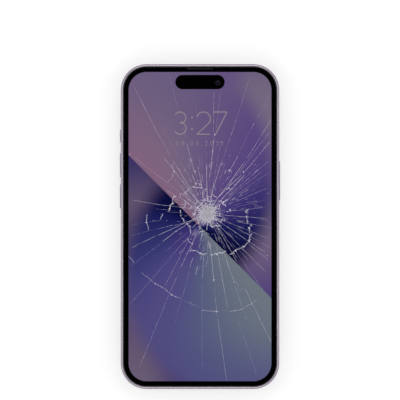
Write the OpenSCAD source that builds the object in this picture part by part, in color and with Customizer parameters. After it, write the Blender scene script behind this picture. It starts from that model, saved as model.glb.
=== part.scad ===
// Pocket phone with a shattered front glass, lying on its back.
// X runs across the phone, Y towards its top edge and Z out of the screen.
// The origin is in the middle of the surface that the rear lens rings stand on.

/* [Body] */
// Width over the side walls, without the buttons
body_w = 71.8; // [70:0.1:88]
// Length from the top edge to the bottom edge
body_l = 147.2; // [144:0.1:178]
// Thickness from the front glass's face to the back glass's face
body_t = 7.85; // [7.7:0.05:9.5]
// Radius of the four corners, seen from the front
corner_r = 11.7; // [9:0.1:14]
// Thickness of the side wall
wall_t = 2.2; // [2:0.1:2.7]
// Width of the metal rim seen round the front glass
rim_w = 1.08; // [1:0.02:1.3]
// Rounding along the side wall's outer edges
edge_r = 0.9; // [0.5:0.05:1]

/* [Glass and display] */
// Thickness of the front glass
glass_t = 0.7; // [0.5:0.05:0.9]
// Thickness of the back glass
back_glass_t = 0.75; // [0.6:0.05:0.9]
// Thickness of the display panel
panel_t = 1.1; // [0.9:0.05:1.35]
// Width of the plastic carrier's edge between the rim and the front glass
carrier_w = 0.2; // [0.15:0.05:0.3]
// Width of the opening in the display for the front cameras
pill_w = 22.4; // [21.5:0.1:24]
// Height of that opening
pill_h = 6.5; // [6.3:0.1:7]
// From the top edge to the middle of that opening
pill_from_top = 8.1; // [8:0.1:8.6]
// Length of the earpiece slit in the front glass
slit_l = 11.8; // [9:0.1:14]
// Width of the earpiece slit
slit_w = 0.55; // [0.45:0.05:0.6]
// From the top edge to the middle of the earpiece slit
slit_from_top = 2.13; // [2.05:0.01:2.2]

/* [Cracks] */
// Place of the impact, right of the middle
impact_x = 3.5; // [-12:0.5:12]
// Place of the impact, above the middle
impact_y = 5.8; // [-12:0.1:12]
// Radius of the crushed spot
crush_r = 3.4; // [2.6:0.1:3.8]
// Width of a crack at the surface
crack_w = 0.08; // [0.05:0.01:0.12]
// Depth that the cracks stay open to
crack_depth = 0.4; // [0.2:0.05:0.45]

/* [Rear camera] */
// Margin of the raised camera plateau round its lens rings
plateau_margin = 1.7; // [1.2:0.1:2.4]
// Corner radius of the plateau
plateau_r = 9; // [6:0.5:12]
// From the plateau to the body's side and top
plateau_inset = 3.2; // [2.8:0.1:3.6]
// Height of the plateau above the back glass
plateau_h = 1.1; // [0.8:0.1:1.6]
// Height of the lens rings above the plateau
ring_h = 1.5; // [1.1:0.1:2.2]
// Outer radius of a lens ring
ring_r = 7.6; // [7:0.1:8]
// Radius of a lens ring's clear opening
ring_bore_r = 5; // [4.8:0.1:5.4]
// Radius of a camera module's barrel
barrel_r = 4.4; // [3.5:0.1:4.6]

/* [Buttons and tray] */
// How far the buttons stand out of the side wall
button_proud = 0.45; // [0.35:0.05:0.6]
// Height of the buttons, across the wall
button_h = 2.6; // [2.2:0.1:3]
// How far a button travels when it is pressed
button_travel = 0.3; // [0.2:0.05:0.3]
// Length of each volume button
volume_l = 10.9; // [8:0.1:11.2]
// Length of the side button
side_button_l = 17.8; // [12:0.1:20]
// Length of the mute switch's lever
mute_l = 5.7; // [4.5:0.1:6]
// Travel of the mute switch's lever
mute_travel = 0.8; // [0.5:0.1:0.9]
// From the top edge to the mute switch
mute_from_top = 32.5; // [32:0.1:33]
// From the top edge to the upper volume button
volume_up_from_top = 45.7; // [45:0.1:46]
// From the top edge to the lower volume button
volume_down_from_top = 59.8; // [59.5:0.1:61]
// From the top edge to the side button
side_from_top = 52.8; // [50:0.1:56]
// From the top edge to the card tray
tray_from_top = 78.6; // [78:0.1:80]
// Length of the card tray's face
tray_face_l = 15.2; // [14.8:0.1:15.8]
// Height of the card tray's face
tray_face_h = 1.9; // [1.7:0.1:2.2]
// How far the tray reaches into the body
tray_depth = 15.4; // [15.2:0.1:17]

/* [Bottom edge] */
// Width of the charging socket's mouth
port_w = 8.4; // [7.5:0.1:8.8]
// Height of the charging socket's mouth
port_h = 2.7; // [2.5:0.1:3]
// Depth of the socket behind the bottom wall
port_depth = 5.8; // [5:0.1:6.5]
// Distance from the middle to each case screw
screw_x = 7.2; // [7:0.1:7.6]
// Radius of the sound holes
sound_hole_r = 0.75; // [0.5:0.05:0.8]
// Distance between sound holes
sound_pitch = 2.3; // [2:0.1:2.4]

/* [Inside] */
// Thickness of the battery
battery_t = 4; // [3.2:0.1:4.1]
// Width of the strip between the main board and the battery
core_gap = 1.2; // [0.8:0.1:2]
// Length of the bay behind the bottom wall
bay_l = 19; // [18:0.5:21]
// Height of the camera modules above the mid plate
camera_h = 4.1; // [3.6:0.1:4.2]
// Outer radius of the charging coil
coil_r = 20; // [16:0.5:22]
// Outer radius of the ring of magnets
magnet_r = 27; // [25:0.5:28]

/* [Hidden] */
$fn = 64;
glass_proud = 0.1;
fit = 0.05;
slack = 0.1;
plate_t = 0.4;
flange_w = 1;
shield_t = 0.2;
carrier_flange_t = 0.5;
carrier_in = wall_t + 0.3;
panel_in = carrier_in + 0.3;

z_back = plateau_h + ring_h;
z_front = z_back + body_t;
z_rim_low = z_back + glass_proud;
z_rim_high = z_front - glass_proud;
z_mid = (z_back + z_front) / 2;
z_plate = z_back + back_glass_t;
z_floor = z_plate + plate_t;
z_glass = z_front - glass_t;
z_ledge = z_glass - carrier_flange_t;
z_panel = z_glass - panel_t;
z_shield = z_panel - shield_t;
z_roof = z_shield - 0.2;

half_w = body_w / 2;
half_l = body_l / 2;
inner_x = half_w - wall_t;
inner_y = half_l - wall_t;
over = 1;

lens_dx = ring_r + 0.6;
lens_dy = ring_r + 1.3;
plateau_w = 2 * (lens_dx + ring_r + plateau_margin);
plateau_l = 2 * (lens_dy + ring_r + plateau_margin);
plateau_x = half_w - plateau_inset - plateau_w / 2;
plateau_y = half_l - plateau_inset - plateau_l / 2;
wide_at = [plateau_x + lens_dx, plateau_y - lens_dy];
tele_at = [plateau_x + lens_dx, plateau_y + lens_dy];
ultra_at = [plateau_x - lens_dx, plateau_y];
LENSES = [wide_at, tele_at, ultra_at];
flash_r = 3;
depth_r = 2.6;
rear_mic_r = 0.5;
window_dx = lens_dx + 1.8;
window_dy = ring_r + flash_r + 1.4;
flash_at = [plateau_x - window_dx, plateau_y + window_dy];
depth_at = [plateau_x - window_dx, plateau_y - window_dy];
rear_mic_at = [plateau_x, plateau_y + window_dy - 0.5];
window_t = 0.7;
spigot_r = ring_r - 0.85;
cover_r = ring_bore_r + 0.5;
cover_t = 0.6;
cover_recess = 0.15;

pill_y = half_l - pill_from_top;
slit_y = half_l - slit_from_top;
front_camera_x = 8.1;
infrared_x = -1;
projector_x = -7.4;
sensor_l = 6;
bracket_z = z_floor + 1.65;
bracket_t = 0.3;

pocket_depth = 0.9;
pocket_x = half_w - wall_t + pocket_depth;
flange_t = 0.5;
flange_lip = 0.5;
plunger_l = 0.3;
plunger_r = 0.6;
dome_r = 1.2;
dome_t = 0.25;
strip_t = 0.3;
dome_x = pocket_x - flange_t - plunger_l - button_travel - 0.05;
strip_x = dome_x - dome_t;
mute_h = 2;
mute_rest = mute_travel / 2;
mute_window_h = mute_h + mute_travel + 2 * slack;
mute_window_l = mute_l + 2 * slack;
mute_plate_h = mute_window_h + mute_travel + 0.4;
mute_y = half_l - mute_from_top;
volume_up_y = half_l - volume_up_from_top;
volume_down_y = half_l - volume_down_from_top;
side_y = half_l - side_from_top;

tray_y = half_l - tray_from_top;
tray_face_t = 1;
tray_w = 10.4;
tray_t = 0.9;
tray_shift = (tray_w - tray_face_l) / 2 + 0.7;
card_w = 8.9;
card_d = 12.4;
eject_r = 0.4;
eject_y = tray_face_l / 2 - 1.9;
eject_channel_r = eject_r + 0.35;

board_t = 0.8;
board_lift = 0.9;
z_board = z_floor + board_lift;
z_chips = z_board + board_t;
board_left = -inner_x + 1.9;
board_right = ultra_at[0] - ring_r - 0.9;
board_top = pill_y - pill_h / 2 - 1.7;
board_bottom = tray_y - 19;
board_screw_r = 0.6;
board_screw_head_r = 1.1;
BOARD_SCREWS = [
    [board_left + 1.6, board_bottom + 1.6],
    [board_left + 1.6, board_top - 1.6],
    [board_right - 1.6, board_top - 1.6],
    [board_right - 1.6, plateau_y - plateau_l / 2 - 1.8]
];

bay_top = -inner_y + bay_l;
battery_left = board_right + core_gap;
battery_right = inner_x - 1.6;
battery_top = plateau_y - plateau_l / 2 + 0.6;
battery_foot_top = board_bottom - core_gap;
battery_bottom = bay_top + 1;

case_screw_head_r = 0.85;
case_screw_r = 0.55;
case_screw_head_t = 0.6;
case_screw_l = 4;
anchor_w = 2.8;
anchor_l = 2.4;
anchor_x = screw_x;
port_wall = 0.5;
port_y = -inner_y + port_depth;
bay_inner_x = screw_x + anchor_w / 2 + 0.6;
SPEAKER_HOLES = [for (i = [0:5]) bay_inner_x + 2.2 + i * sound_pitch];
MIC_HOLES = [for (i = [0:3]) -bay_inner_x - 2.2 - i * sound_pitch];

band_w = 1.2;
band_depth = 0.6;
// Where the plastic breaks cross the wall, measured along each edge.
SIDE_BREAK_Y = half_l - 15.6;
TOP_BREAK_X = -22;
BOTTOM_BREAK_X = -21;

// Cracks as runs of [angle, radius] about the impact, in degrees and millimetres.
RADIAL_CRACKS = [
    [[6, 9], [6, 28]],
    [[14, 13], [14, 28]],
    [[24, 11], [24, 30]],
    [[34.5, 12], [34.5, 35]],
    [[41.5, 25], [41.5, 37]],
    [[47, 8], [47, 24], [49, 24.6], [49, 44]],
    [[52, 16], [53.5, 47]],
    [[58, 9], [55.5, 20], [56.5, 52]],
    [[65, 14], [63, 27], [63, 58]],
    [[79, 9], [77, 17], [74, 27], [73.5, 62]],
    [[88, 8], [85.5, 28], [85, 35], [87, 55]],
    [[92, 8], [91, 24], [90.5, 50]],
    [[105, 9], [102, 21]],
    [[112, 14], [107.5, 20], [106.5, 34], [105, 58]],
    [[126, 8], [124, 20], [122, 40], [121, 66]],
    [[130, 9], [128, 18], [128, 33]],
    [[141, 8], [142, 20], [143, 44]],
    [[160, 6], [168, 18], [169.5, 35]],
    [[188, 12], [188, 35]],
    [[200, 8], [197, 20], [196, 36]],
    [[201, 9], [203, 22], [204, 37]],
    [[206, 8], [209, 17], [214, 42]],
    [[222, 11], [222, 39]],
    [[229, 7], [229, 50]],
    [[234, 15], [238, 28], [239.5, 39]],
    [[241, 7], [243.5, 30], [246, 78]],
    [[251, 9], [252, 24], [253, 40]],
    [[262, 9], [265.5, 30], [268, 74]],
    [[275, 9], [275, 44], [277, 77]],
    [[285, 9], [283, 25], [282, 45]],
    [[285.5, 45.6], [287, 78]],
    [[294, 9], [291, 30], [290, 52]],
    [[296.5, 37], [296.5, 66]],
    [[303, 9], [303, 20]],
    [[307, 10], [306, 33]],
    [[314, 9], [314, 40]],
    [[325, 9], [324, 22], [322, 35]],
    [[331, 12], [331.5, 32]],
    [[340, 8], [338, 30]],
    [[345, 13], [348, 28]],
    [[356, 8], [355.5, 28]]
];
RING_CRACKS = [
    [[26, 8.6], [40, 8.2], [48, 8.8]],
    [[46.5, 15.2], [54, 14.6]],
    [[60, 7.6], [72, 7.2], [94, 8]],
    [[92, 11], [102, 11.4], [110, 12.8], [119, 14.1], [138, 13.9], [142, 12]],
    [[124, 27], [128, 27.3]],
    [[128, 24.6], [134, 23.4], [143, 23]],
    [[142, 15.4], [150, 14.4]],
    [[150, 11.2], [170, 11.6], [188, 12.2], [200, 11.2], [222, 10], [229, 11]],
    [[152, 17], [162, 16.6], [170, 18.1], [178, 18]],
    [[180, 20.7], [188, 21.5]],
    [[180, 27.9], [196, 28.2]],
    [[230, 14.4], [245, 15.2]],
    [[242, 18.9], [250, 17.6], [258, 18.2], [284, 19], [295, 19]],
    [[296, 20.4], [307, 20.6], [314, 21.6], [326, 22.1], [338, 22]],
    [[339, 19.8], [347, 18.6], [360, 17.7], [365, 17]],
    [[206, 40], [214, 40.4]],
    [[222, 40], [229, 39.3], [240, 39.6], [253, 40.4]],
    [[253, 40.6], [266, 43], [275, 44.6], [290, 46], [296, 45.5]]
];

steel = [0.64, 0.6, 0.65];
dark_glass = [0.1, 0.1, 0.12];
board_green = [0.08, 0.16, 0.14];
copper = [0.72, 0.45, 0.25];
gold = [0.83, 0.68, 0.35];

// ---- Shapes that repeat ----

// A flat shape pushed along X: its own x becomes Y and its own y becomes Z.
module along_x(x0, x1) {
    translate([x0, 0, 0]) rotate([90, 0, 90]) linear_extrude(x1 - x0) children();
}

// A flat shape pushed along Y: its own x stays X and its own y becomes Z.
module along_y(y0, y1) {
    translate([0, y1, 0]) rotate([90, 0, 0]) linear_extrude(y1 - y0) children();
}

module rounded(w, l, r) {
    square([w - 2 * r, l], center = true);
    square([w, l - 2 * r], center = true);
    for (x = [-1, 1], y = [-1, 1])
        translate([x * (w / 2 - r), y * (l / 2 - r)]) circle(r);
}

module stadium(l, h) {
    square([l - h, h], center = true);
    for (s = [-1, 1])
        translate([s * (l - h) / 2, 0]) circle(h / 2);
}

// The body's outline, moved inwards.
module outline(inset) {
    rounded(body_w - 2 * inset, body_l - 2 * inset, max(corner_r - inset, 1));
}

module slab(z0, z1) {
    translate([0, 0, z0]) linear_extrude(z1 - z0) children();
}

module block(x0, x1, y0, y1, z0, z1, r = 0.4) {
    slab(z0, z1) translate([(x0 + x1) / 2, (y0 + y1) / 2]) rounded(x1 - x0, y1 - y0, r);
}

// Sweeps a section round the body's outline. The section's x is 0 at the outline.
module swept_round() {
    run_x = half_w - corner_r;
    run_y = half_l - corner_r;
    for (m = [0, 1]) {
        mirror([m, 0, 0]) translate([half_w, 0, 0]) along_y(-run_y, run_y) children();
        mirror([0, m, 0]) translate([0, half_l, 0]) along_x(-run_x, run_x) children();
    }
    for (mx = [0, 1], my = [0, 1])
        mirror([mx, 0, 0]) mirror([0, my, 0]) translate([run_x, run_y, 0])
            rotate_extrude(angle = 90) translate([corner_r, 0]) children();
}

// ---- Side wall ----

module wall_blank() {
    h = z_rim_high - z_rim_low;
    translate([-wall_t, z_rim_low]) square([wall_t - edge_r, h]);
    translate([-wall_t, z_rim_low + edge_r]) square([wall_t, h - 2 * edge_r]);
    for (z = [z_rim_low + edge_r, z_rim_high - edge_r])
        translate([-edge_r, z]) circle(edge_r);
    translate([-wall_t - flange_w, z_plate]) square([flange_w + edge_r, plate_t]);
}

module wall_section() {
    difference() {
        wall_blank();
        translate([-wall_t - over, z_ledge]) square([wall_t + over - rim_w, z_front]);
        translate([-wall_t - flange_w - over, z_back - over])
            square([wall_t + flange_w + over - rim_w, over + back_glass_t]);
    }
}

module break_slots() {
    depth = band_depth + over;
    for (x = [-1, 1], y = [-1, 1])
        translate([x * (half_w + (over - band_depth) / 2), y * SIDE_BREAK_Y, z_mid])
            cube([depth, band_w, 2 * body_t], center = true);
    translate([TOP_BREAK_X, half_l + (over - band_depth) / 2, z_mid])
        cube([band_w, depth, 2 * body_t], center = true);
    translate([BOTTOM_BREAK_X, -half_l - (over - band_depth) / 2, z_mid])
        cube([band_w, depth, 2 * body_t], center = true);
}

// Opening for a pressed button, with a wider pocket behind it for the button's flange.
module button_opening(l, y) {
    translate([0, y, z_mid]) {
        along_x(half_w - wall_t - over, half_w + over)
            stadium(l + 2 * slack, button_h + 2 * slack);
        along_x(half_w - wall_t - over, pocket_x)
            stadium(l + 2 * flange_lip + 4 * slack, button_h + 2 * flange_lip + 4 * slack);
    }
}

module mute_opening() {
    translate([0, mute_y, z_mid]) {
        along_x(half_w - wall_t - over, half_w + over)
            rounded(mute_window_l, mute_window_h, mute_h / 2 + slack);
        along_x(half_w - wall_t - over, pocket_x)
            square([mute_window_l + 1.4, mute_plate_h + mute_travel + 2 * slack], center = true);
    }
}

module tray_opening() {
    translate([0, tray_y, z_mid]) {
        along_x(half_w - tray_face_t, half_w + over)
            stadium(tray_face_l + 2 * fit, tray_face_h + 2 * fit);
        along_x(half_w - wall_t - over, half_w) translate([tray_shift, 0])
            square([tray_w + 2 * slack, tray_t + 2 * slack], center = true);
        along_x(half_w - wall_t - over, half_w)
            translate([eject_y, 0]) circle(eject_channel_r);
    }
}

module bottom_openings() {
    translate([0, 0, z_mid]) {
        along_y(-half_l - over, -inner_y + over) stadium(port_w + 0.2, port_h + 0.2);
        for (s = [-1, 1]) translate([s * screw_x, 0, 0]) {
            along_y(-half_l - over, -half_l + case_screw_head_t + 0.1)
                circle(case_screw_head_r + slack);
            along_y(-half_l - over, -inner_y + over) circle(case_screw_r + fit);
        }
        for (x = concat(SPEAKER_HOLES, MIC_HOLES))
            translate([x, 0, 0]) along_y(-half_l - over, -inner_y + over) circle(sound_hole_r);
    }
}

module side_frame() {
    color(steel) difference() {
        swept_round() wall_section();
        break_slots();
        mirror([1, 0, 0]) {
            button_opening(volume_l, volume_up_y);
            button_opening(volume_l, volume_down_y);
            mute_opening();
            tray_opening();
        }
        button_opening(side_button_l, side_y);
        bottom_openings();
        // Sound path from the earpiece slit down to its speaker.
        translate([-slit_l / 2 + 1, inner_y - over, z_ledge - 1.2])
            cube([slit_l - 2, slit_y + slit_w / 2 - inner_y + over, 2]);
    }
}

module antenna_strips() {
    color([0.78, 0.76, 0.79]) intersection() {
        swept_round() wall_blank();
        break_slots();
    }
}

// ---- Mid plate and what lies on the back glass ----

module mid_plate() {
    color([0.62, 0.62, 0.64]) difference() {
        union() {
            slab(z_plate, z_floor) outline(wall_t + flange_w + fit);
            for (p = BOARD_SCREWS)
                translate([p[0], p[1], z_plate]) cylinder(r = 1.5, h = plate_t + board_lift);
            for (s = [-1, 1])
                translate([s * anchor_x - anchor_w / 2, -inner_y + flange_w + fit, z_plate])
                    cube([anchor_w, anchor_l, z_mid + 1.3 - z_plate]);
        }
        for (p = BOARD_SCREWS)
            translate([p[0], p[1], z_plate - over]) cylinder(r = board_screw_r + fit, h = 5);
        translate([0, 0, z_plate - over]) cylinder(r = magnet_r + 0.4, h = 3);
        for (p = LENSES)
            translate([p[0], p[1], z_plate - over]) cylinder(r = barrel_r + 0.3, h = 3);
        translate([flash_at[0], flash_at[1], z_plate - over]) cylinder(r = flash_r, h = 3);
        translate([depth_at[0], depth_at[1], z_plate - over]) cylinder(r = depth_r, h = 3);
        translate([rear_mic_at[0], rear_mic_at[1], z_plate - over])
            cylinder(r = rear_mic_r, h = 3);
        for (s = [-1, 1]) translate([s * screw_x, 0, z_mid])
            along_y(-half_l, -inner_y + case_screw_l) circle(case_screw_r + fit);
    }
}

module charging_coil() {
    color(copper) difference() {
        translate([0, 0, z_plate]) cylinder(r = coil_r, h = plate_t - 0.05);
        translate([0, 0, z_plate - over]) cylinder(r = coil_r * 0.42, h = 3);
    }
}

module alignment_magnets() {
    count = 18;
    color([0.55, 0.56, 0.58]) for (i = [0:count - 1])
        rotate([0, 0, i * 360 / count]) translate([0, 0, z_plate])
            rotate_extrude(angle = 360 / count - 1.5)
                translate([magnet_r - 3.4, 0]) square([3.4, plate_t]);
}

// ---- Back glass and rear cameras ----

module at_lenses() {
    for (p = LENSES) translate([p[0], p[1], 0]) children();
}

module back_glass() {
    color([0.45, 0.38, 0.5]) difference() {
        union() {
            slab(z_back, z_plate) outline(rim_w + fit);
            slab(ring_h, z_back + 0.1) translate([plateau_x, plateau_y])
                rounded(plateau_w, plateau_l, plateau_r);
        }
        at_lenses() cylinder(r = spigot_r + fit, h = z_floor);
        translate([flash_at[0], flash_at[1], 0]) cylinder(r = flash_r, h = z_floor);
        translate([depth_at[0], depth_at[1], 0]) cylinder(r = depth_r, h = z_floor);
        translate([rear_mic_at[0], rear_mic_at[1], 0]) cylinder(r = rear_mic_r, h = z_floor);
    }
}

module lens_rings() {
    color([0.5, 0.47, 0.52]) at_lenses() difference() {
        union() {
            cylinder(r = ring_r, h = ring_h);
            cylinder(r = spigot_r, h = z_plate);
        }
        translate([0, 0, -over]) cylinder(r = ring_bore_r, h = z_floor + over);
        translate([0, 0, -over]) cylinder(r = cover_r + fit, h = over + cover_recess + cover_t);
    }
}

module lens_covers() {
    color(dark_glass) at_lenses() translate([0, 0, cover_recess])
        cylinder(r = cover_r, h = cover_t);
}

module camera_module(p, w) {
    color([0.16, 0.16, 0.18]) {
        block(p[0] - w / 2, p[0] + w / 2, p[1] - w / 2, p[1] + w / 2, z_floor, z_floor + camera_h);
        translate([p[0], p[1], cover_recess + cover_t + 0.2])
            cylinder(r = barrel_r, h = z_floor + 0.1 - cover_recess - cover_t - 0.2);
    }
}

module wide_camera() {
    camera_module(wide_at, 2 * ring_r - 0.7);
}

module tele_camera() {
    camera_module(tele_at, 2 * ring_r - 1.7);
}

module ultra_wide_camera() {
    camera_module(ultra_at, 2 * ring_r - 2.7);
}

module camera_cover() {
    z = z_floor + camera_h;
    color([0.7, 0.7, 0.72]) slab(z, z + 0.2) {
        translate([wide_at[0], plateau_y]) rounded(12.5, 2 * lens_dy + 12, 1);
        translate([plateau_x - 1.5, plateau_y]) rounded(2 * lens_dx + 7, 10, 1);
    }
}

module window_disc(p, r) {
    color(dark_glass) translate([p[0], p[1], ring_h + 0.05]) cylinder(r = r - fit, h = window_t);
}

module flash_window() {
    window_disc(flash_at, flash_r);
}

module depth_window() {
    window_disc(depth_at, depth_r);
}

module rear_sensor(p, r, top) {
    translate([p[0], p[1], ring_h + 0.05 + window_t]) {
        cylinder(r = r - 0.1, h = top - ring_h - 0.05 - window_t);
        translate([0, 0, z_floor - ring_h - 0.05 - window_t])
            cylinder(r = r + 0.4, h = top - z_floor);
    }
}

module rear_flash() {
    color([0.93, 0.88, 0.6]) rear_sensor(flash_at, flash_r, z_floor + 0.8);
}

module depth_sensor() {
    color([0.2, 0.2, 0.22]) rear_sensor(depth_at, depth_r, z_floor + 1.4);
}

module rear_microphone() {
    color([0.75, 0.74, 0.7])
        block(rear_mic_at[0] - 1.4, rear_mic_at[0] + 1.4, rear_mic_at[1] - 1.8,
              rear_mic_at[1] + 1.8, z_floor, z_floor + 1, 0.2);
}

// ---- Front glass and display ----

function around_impact(p) =
    [impact_x + p[1] * cos(p[0]), impact_y + p[1] * sin(p[0])];

module groove(a, b) {
    p = around_impact(a);
    q = around_impact(b);
    run = norm(q - p);
    translate([p[0], p[1], z_front - crack_depth])
        rotate([0, 0, atan2(q[1] - p[1], q[0] - p[0])])
            translate([-crack_w / 2, -crack_w / 2, 0])
                cube([run + crack_w, crack_w, crack_depth + over]);
}

module crack_grooves() {
    for (crack = concat(RADIAL_CRACKS, RING_CRACKS), i = [0:len(crack) - 2])
        groove(crack[i], crack[i + 1]);
}

shard_count = 14;
shard_reach = rands(0.86, 1.14, shard_count, 11);
shard_turn = rands(-4, 4, shard_count, 12);
shard_drop = rands(0, 0.12, 2 * shard_count, 13);
function shard_angle(i) = i * 360 / shard_count + shard_turn[i % shard_count];
function shard_radius(i) = crush_r * shard_reach[i % shard_count];

// A shard's corner: on spoke i at a share of the crushed spot's radius, pulled in from the cracks.
function shard_corner(i, share, side, pull) =
    let (r = shard_radius(i) * share - pull)
        [impact_x + r * cos(shard_angle(i)) - side * sin(shard_angle(i)),
         impact_y + r * sin(shard_angle(i)) + side * cos(shard_angle(i))];

module crushed_outline(pull) {
    polygon([for (i = [0:shard_count - 1]) shard_corner(i, 1, 0, pull)]);
}

module shard(i, inner, outer, drop) {
    gap = crack_w / 2;
    slab(z_glass, z_front - drop) polygon([
        shard_corner(i, inner, gap, -gap),
        shard_corner(i, outer, gap, gap),
        shard_corner(i + 1, outer, -gap, gap),
        shard_corner(i + 1, inner, -gap, -gap)
    ]);
}

module glass_shards() {
    color([0.8, 0.78, 0.82]) {
        for (i = [0:shard_count - 1]) {
            shard(i, 0.62, 1, shard_drop[i]);
            shard(i, 0.28, 0.62, shard_drop[shard_count + i]);
        }
        slab(z_glass, z_front - 0.1)
            polygon([for (i = [0:shard_count - 1]) shard_corner(i, 0.28, 0, crack_w / 2)]);
    }
}

module slit() {
    translate([0, slit_y]) stadium(slit_l, slit_w);
}

module cover_glass() {
    color([0.75, 0.75, 0.8]) difference() {
        slab(z_glass, z_front) difference() {
            outline(rim_w + carrier_w + 2 * fit);
            slit();
            crushed_outline(0);
        }
        crack_grooves();
    }
}

module camera_window(clear) {
    translate([0, pill_y]) stadium(pill_w + 2 * clear, pill_h + 2 * clear);
}

module display_panel() {
    color([0.32, 0.28, 0.5]) slab(z_panel, z_glass) difference() {
        outline(panel_in);
        camera_window(0.3);
    }
}

module display_shield() {
    color([0.5, 0.5, 0.52]) slab(z_shield, z_panel) difference() {
        outline(panel_in + 1);
        camera_window(0.6);
    }
}

// The plastic frame that the glass is bonded in, which sits on the side wall's ledge.
module display_carrier() {
    color([0.05, 0.05, 0.05]) {
        slab(z_ledge, z_rim_high - 0.05) difference() {
            outline(rim_w + fit);
            outline(rim_w + carrier_w + fit);
        }
        slab(z_ledge, z_glass) difference() {
            outline(rim_w + fit);
            outline(carrier_in);
            translate([0, slit_y]) square([slit_l - 2, slit_w], center = true);
        }
    }
}

module earpiece_mesh() {
    color([0.1, 0.1, 0.11]) slab(z_glass, z_front - 0.15)
        translate([0, slit_y]) stadium(slit_l - 2 * fit, slit_w - 2 * fit);
}

module front_sensor_bracket() {
    left = projector_x - 3.6;
    right = front_camera_x + 3.6;
    y0 = pill_y - sensor_l / 2 - 0.3;
    y1 = pill_y + sensor_l / 2 + 0.2;
    color([0.7, 0.7, 0.72]) {
        block(left, right, y0, y1, bracket_z, bracket_z + bracket_t, 0.3);
        translate([left + 1, y1 - 0.5, z_floor])
            cube([right - left - 2, 0.4, bracket_z - z_floor + 0.1]);
    }
}

// A sensor that stands on the bracket and looks out through the display's opening.
module front_sensor(x, w, lens_r) {
    z0 = bracket_z + bracket_t;
    block(x - w / 2, x + w / 2, pill_y - sensor_l / 2, pill_y + sensor_l / 2, z0, z_roof, 0.3);
    translate([x, pill_y - 0.4, z_roof - 0.1]) cylinder(r = lens_r, h = z_glass - z_roof + 0.05);
}

module front_camera() {
    color([0.12, 0.12, 0.14]) front_sensor(front_camera_x, 6.4, 1.9);
}

module infrared_camera() {
    color([0.14, 0.14, 0.16]) front_sensor(infrared_x, 5.4, 1.6);
}

module dot_projector() {
    color([0.16, 0.15, 0.17]) front_sensor(projector_x, 5.6, 1.8);
}

module earpiece_speaker() {
    y0 = pill_y + sensor_l / 2 + 0.5;
    color([0.2, 0.2, 0.21]) block(-8, 8, y0, inner_y - 0.1, z_floor, z_roof - 0.3, 0.3);
}

// ---- Boards, battery and ribbons ----

module main_board() {
    color(board_green) difference() {
        block(board_left, board_right, board_bottom, board_top, z_board, z_chips, 1);
        for (p = BOARD_SCREWS)
            translate([p[0], p[1], z_board - over]) cylinder(r = board_screw_r + fit, h = 4);
    }
}

module shield_can(x0, x1, y0, y1, h) {
    color([0.72, 0.72, 0.74]) difference() {
        block(x0, x1, y0, y1, z_chips, z_chips + h, 0.6);
        block(x0 + 0.2, x1 - 0.2, y0 + 0.2, y1 - 0.2, z_chips - over, z_chips + h - 0.2, 0.4);
    }
}

module processor_shield() {
    shield_can(board_left + 4, board_right - 4, volume_down_y + 10, board_top - 4, 2.4);
}

module radio_shield() {
    shield_can(board_left + 4, board_right - 9, tray_y + 8.8, volume_down_y + 9, 2);
}

module sim_reader() {
    x0 = board_left + 0.2;
    x1 = -half_w + tray_depth + 1.6;
    color([0.74, 0.74, 0.76]) difference() {
        block(x0, x1, tray_y - 8.1, tray_y + 8.1, z_chips, z_mid + 1.4, 0.3);
        translate([0, tray_y, z_mid]) {
            along_x(x0 - over, x1 - 1) translate([tray_shift, 0])
                square([tray_w + 2 * slack, tray_t + 2 * slack], center = true);
            along_x(x0 - over, x0 + 3) translate([eject_y, 0]) circle(eject_channel_r);
        }
    }
}

module sim_tray() {
    color(steel) translate([0, tray_y, z_mid]) difference() {
        union() {
            along_x(-half_w, -half_w + tray_face_t) stadium(tray_face_l, tray_face_h);
            along_x(-half_w + tray_face_t / 2, -half_w + tray_depth)
                translate([tray_shift, 0]) square([tray_w, tray_t], center = true);
        }
        translate([-half_w + tray_depth - 0.8 - card_d, tray_shift - card_w / 2, -0.2])
            cube([card_d, card_w, 2]);
        translate([-half_w + tray_depth - 0.4 - card_d, tray_shift - card_w / 2 + 0.5, -2])
            cube([card_d - 0.8, card_w - 1, 4]);
        along_x(-half_w - over, -half_w + tray_face_t + over)
            translate([eject_y, 0]) circle(eject_r);
    }
}

module battery() {
    color([0.11, 0.11, 0.12]) slab(z_floor, z_floor + battery_t) difference() {
        translate([(board_left + battery_right) / 2, (battery_bottom + battery_top) / 2])
            rounded(battery_right - board_left, battery_top - battery_bottom, 1.2);
        translate([board_left - over, battery_foot_top])
            square([battery_left - board_left + over, battery_top - battery_foot_top + over]);
    }
}

module connector(x, y, w, l) {
    block(x - w / 2, x + w / 2, y - l / 2, y + l / 2, z_chips, z_chips + 0.8, 0.2);
}

ribbon_t = 0.12;
charging_flex_x = board_right - 6;
z_ribbon = z_floor + battery_t + 0.05;
plug_top = z_chips + 0.8;

module battery_flex() {
    y = tray_y - 11;
    color([0.85, 0.6, 0.25]) {
        connector(board_right - 3, y, 3, 7);
        translate([board_right - 4, y - 3, plug_top])
            cube([battery_left - board_right + 4, 6, ribbon_t]);
    }
}

// A ribbon that runs along Y at one height and drops at both ends.
module ribbon(x, w, y0, y1, z, drop0, drop1) {
    translate([x - w / 2, y0, z]) cube([w, y1 - y0, ribbon_t]);
    translate([x - w / 2, y0, drop0]) cube([w, ribbon_t, z - drop0 + ribbon_t]);
    translate([x - w / 2, y1 - ribbon_t, drop1]) cube([w, ribbon_t, z - drop1 + ribbon_t]);
}

module display_flex() {
    x = charging_flex_x - 9;
    y = board_bottom + 3;
    color([0.8, 0.5, 0.2]) {
        connector(x, y, 9, 2.4);
        translate([x - 4.5, y - 0.5, plug_top]) cube([9, ribbon_t, z_shield - plug_top]);
    }
}

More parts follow.
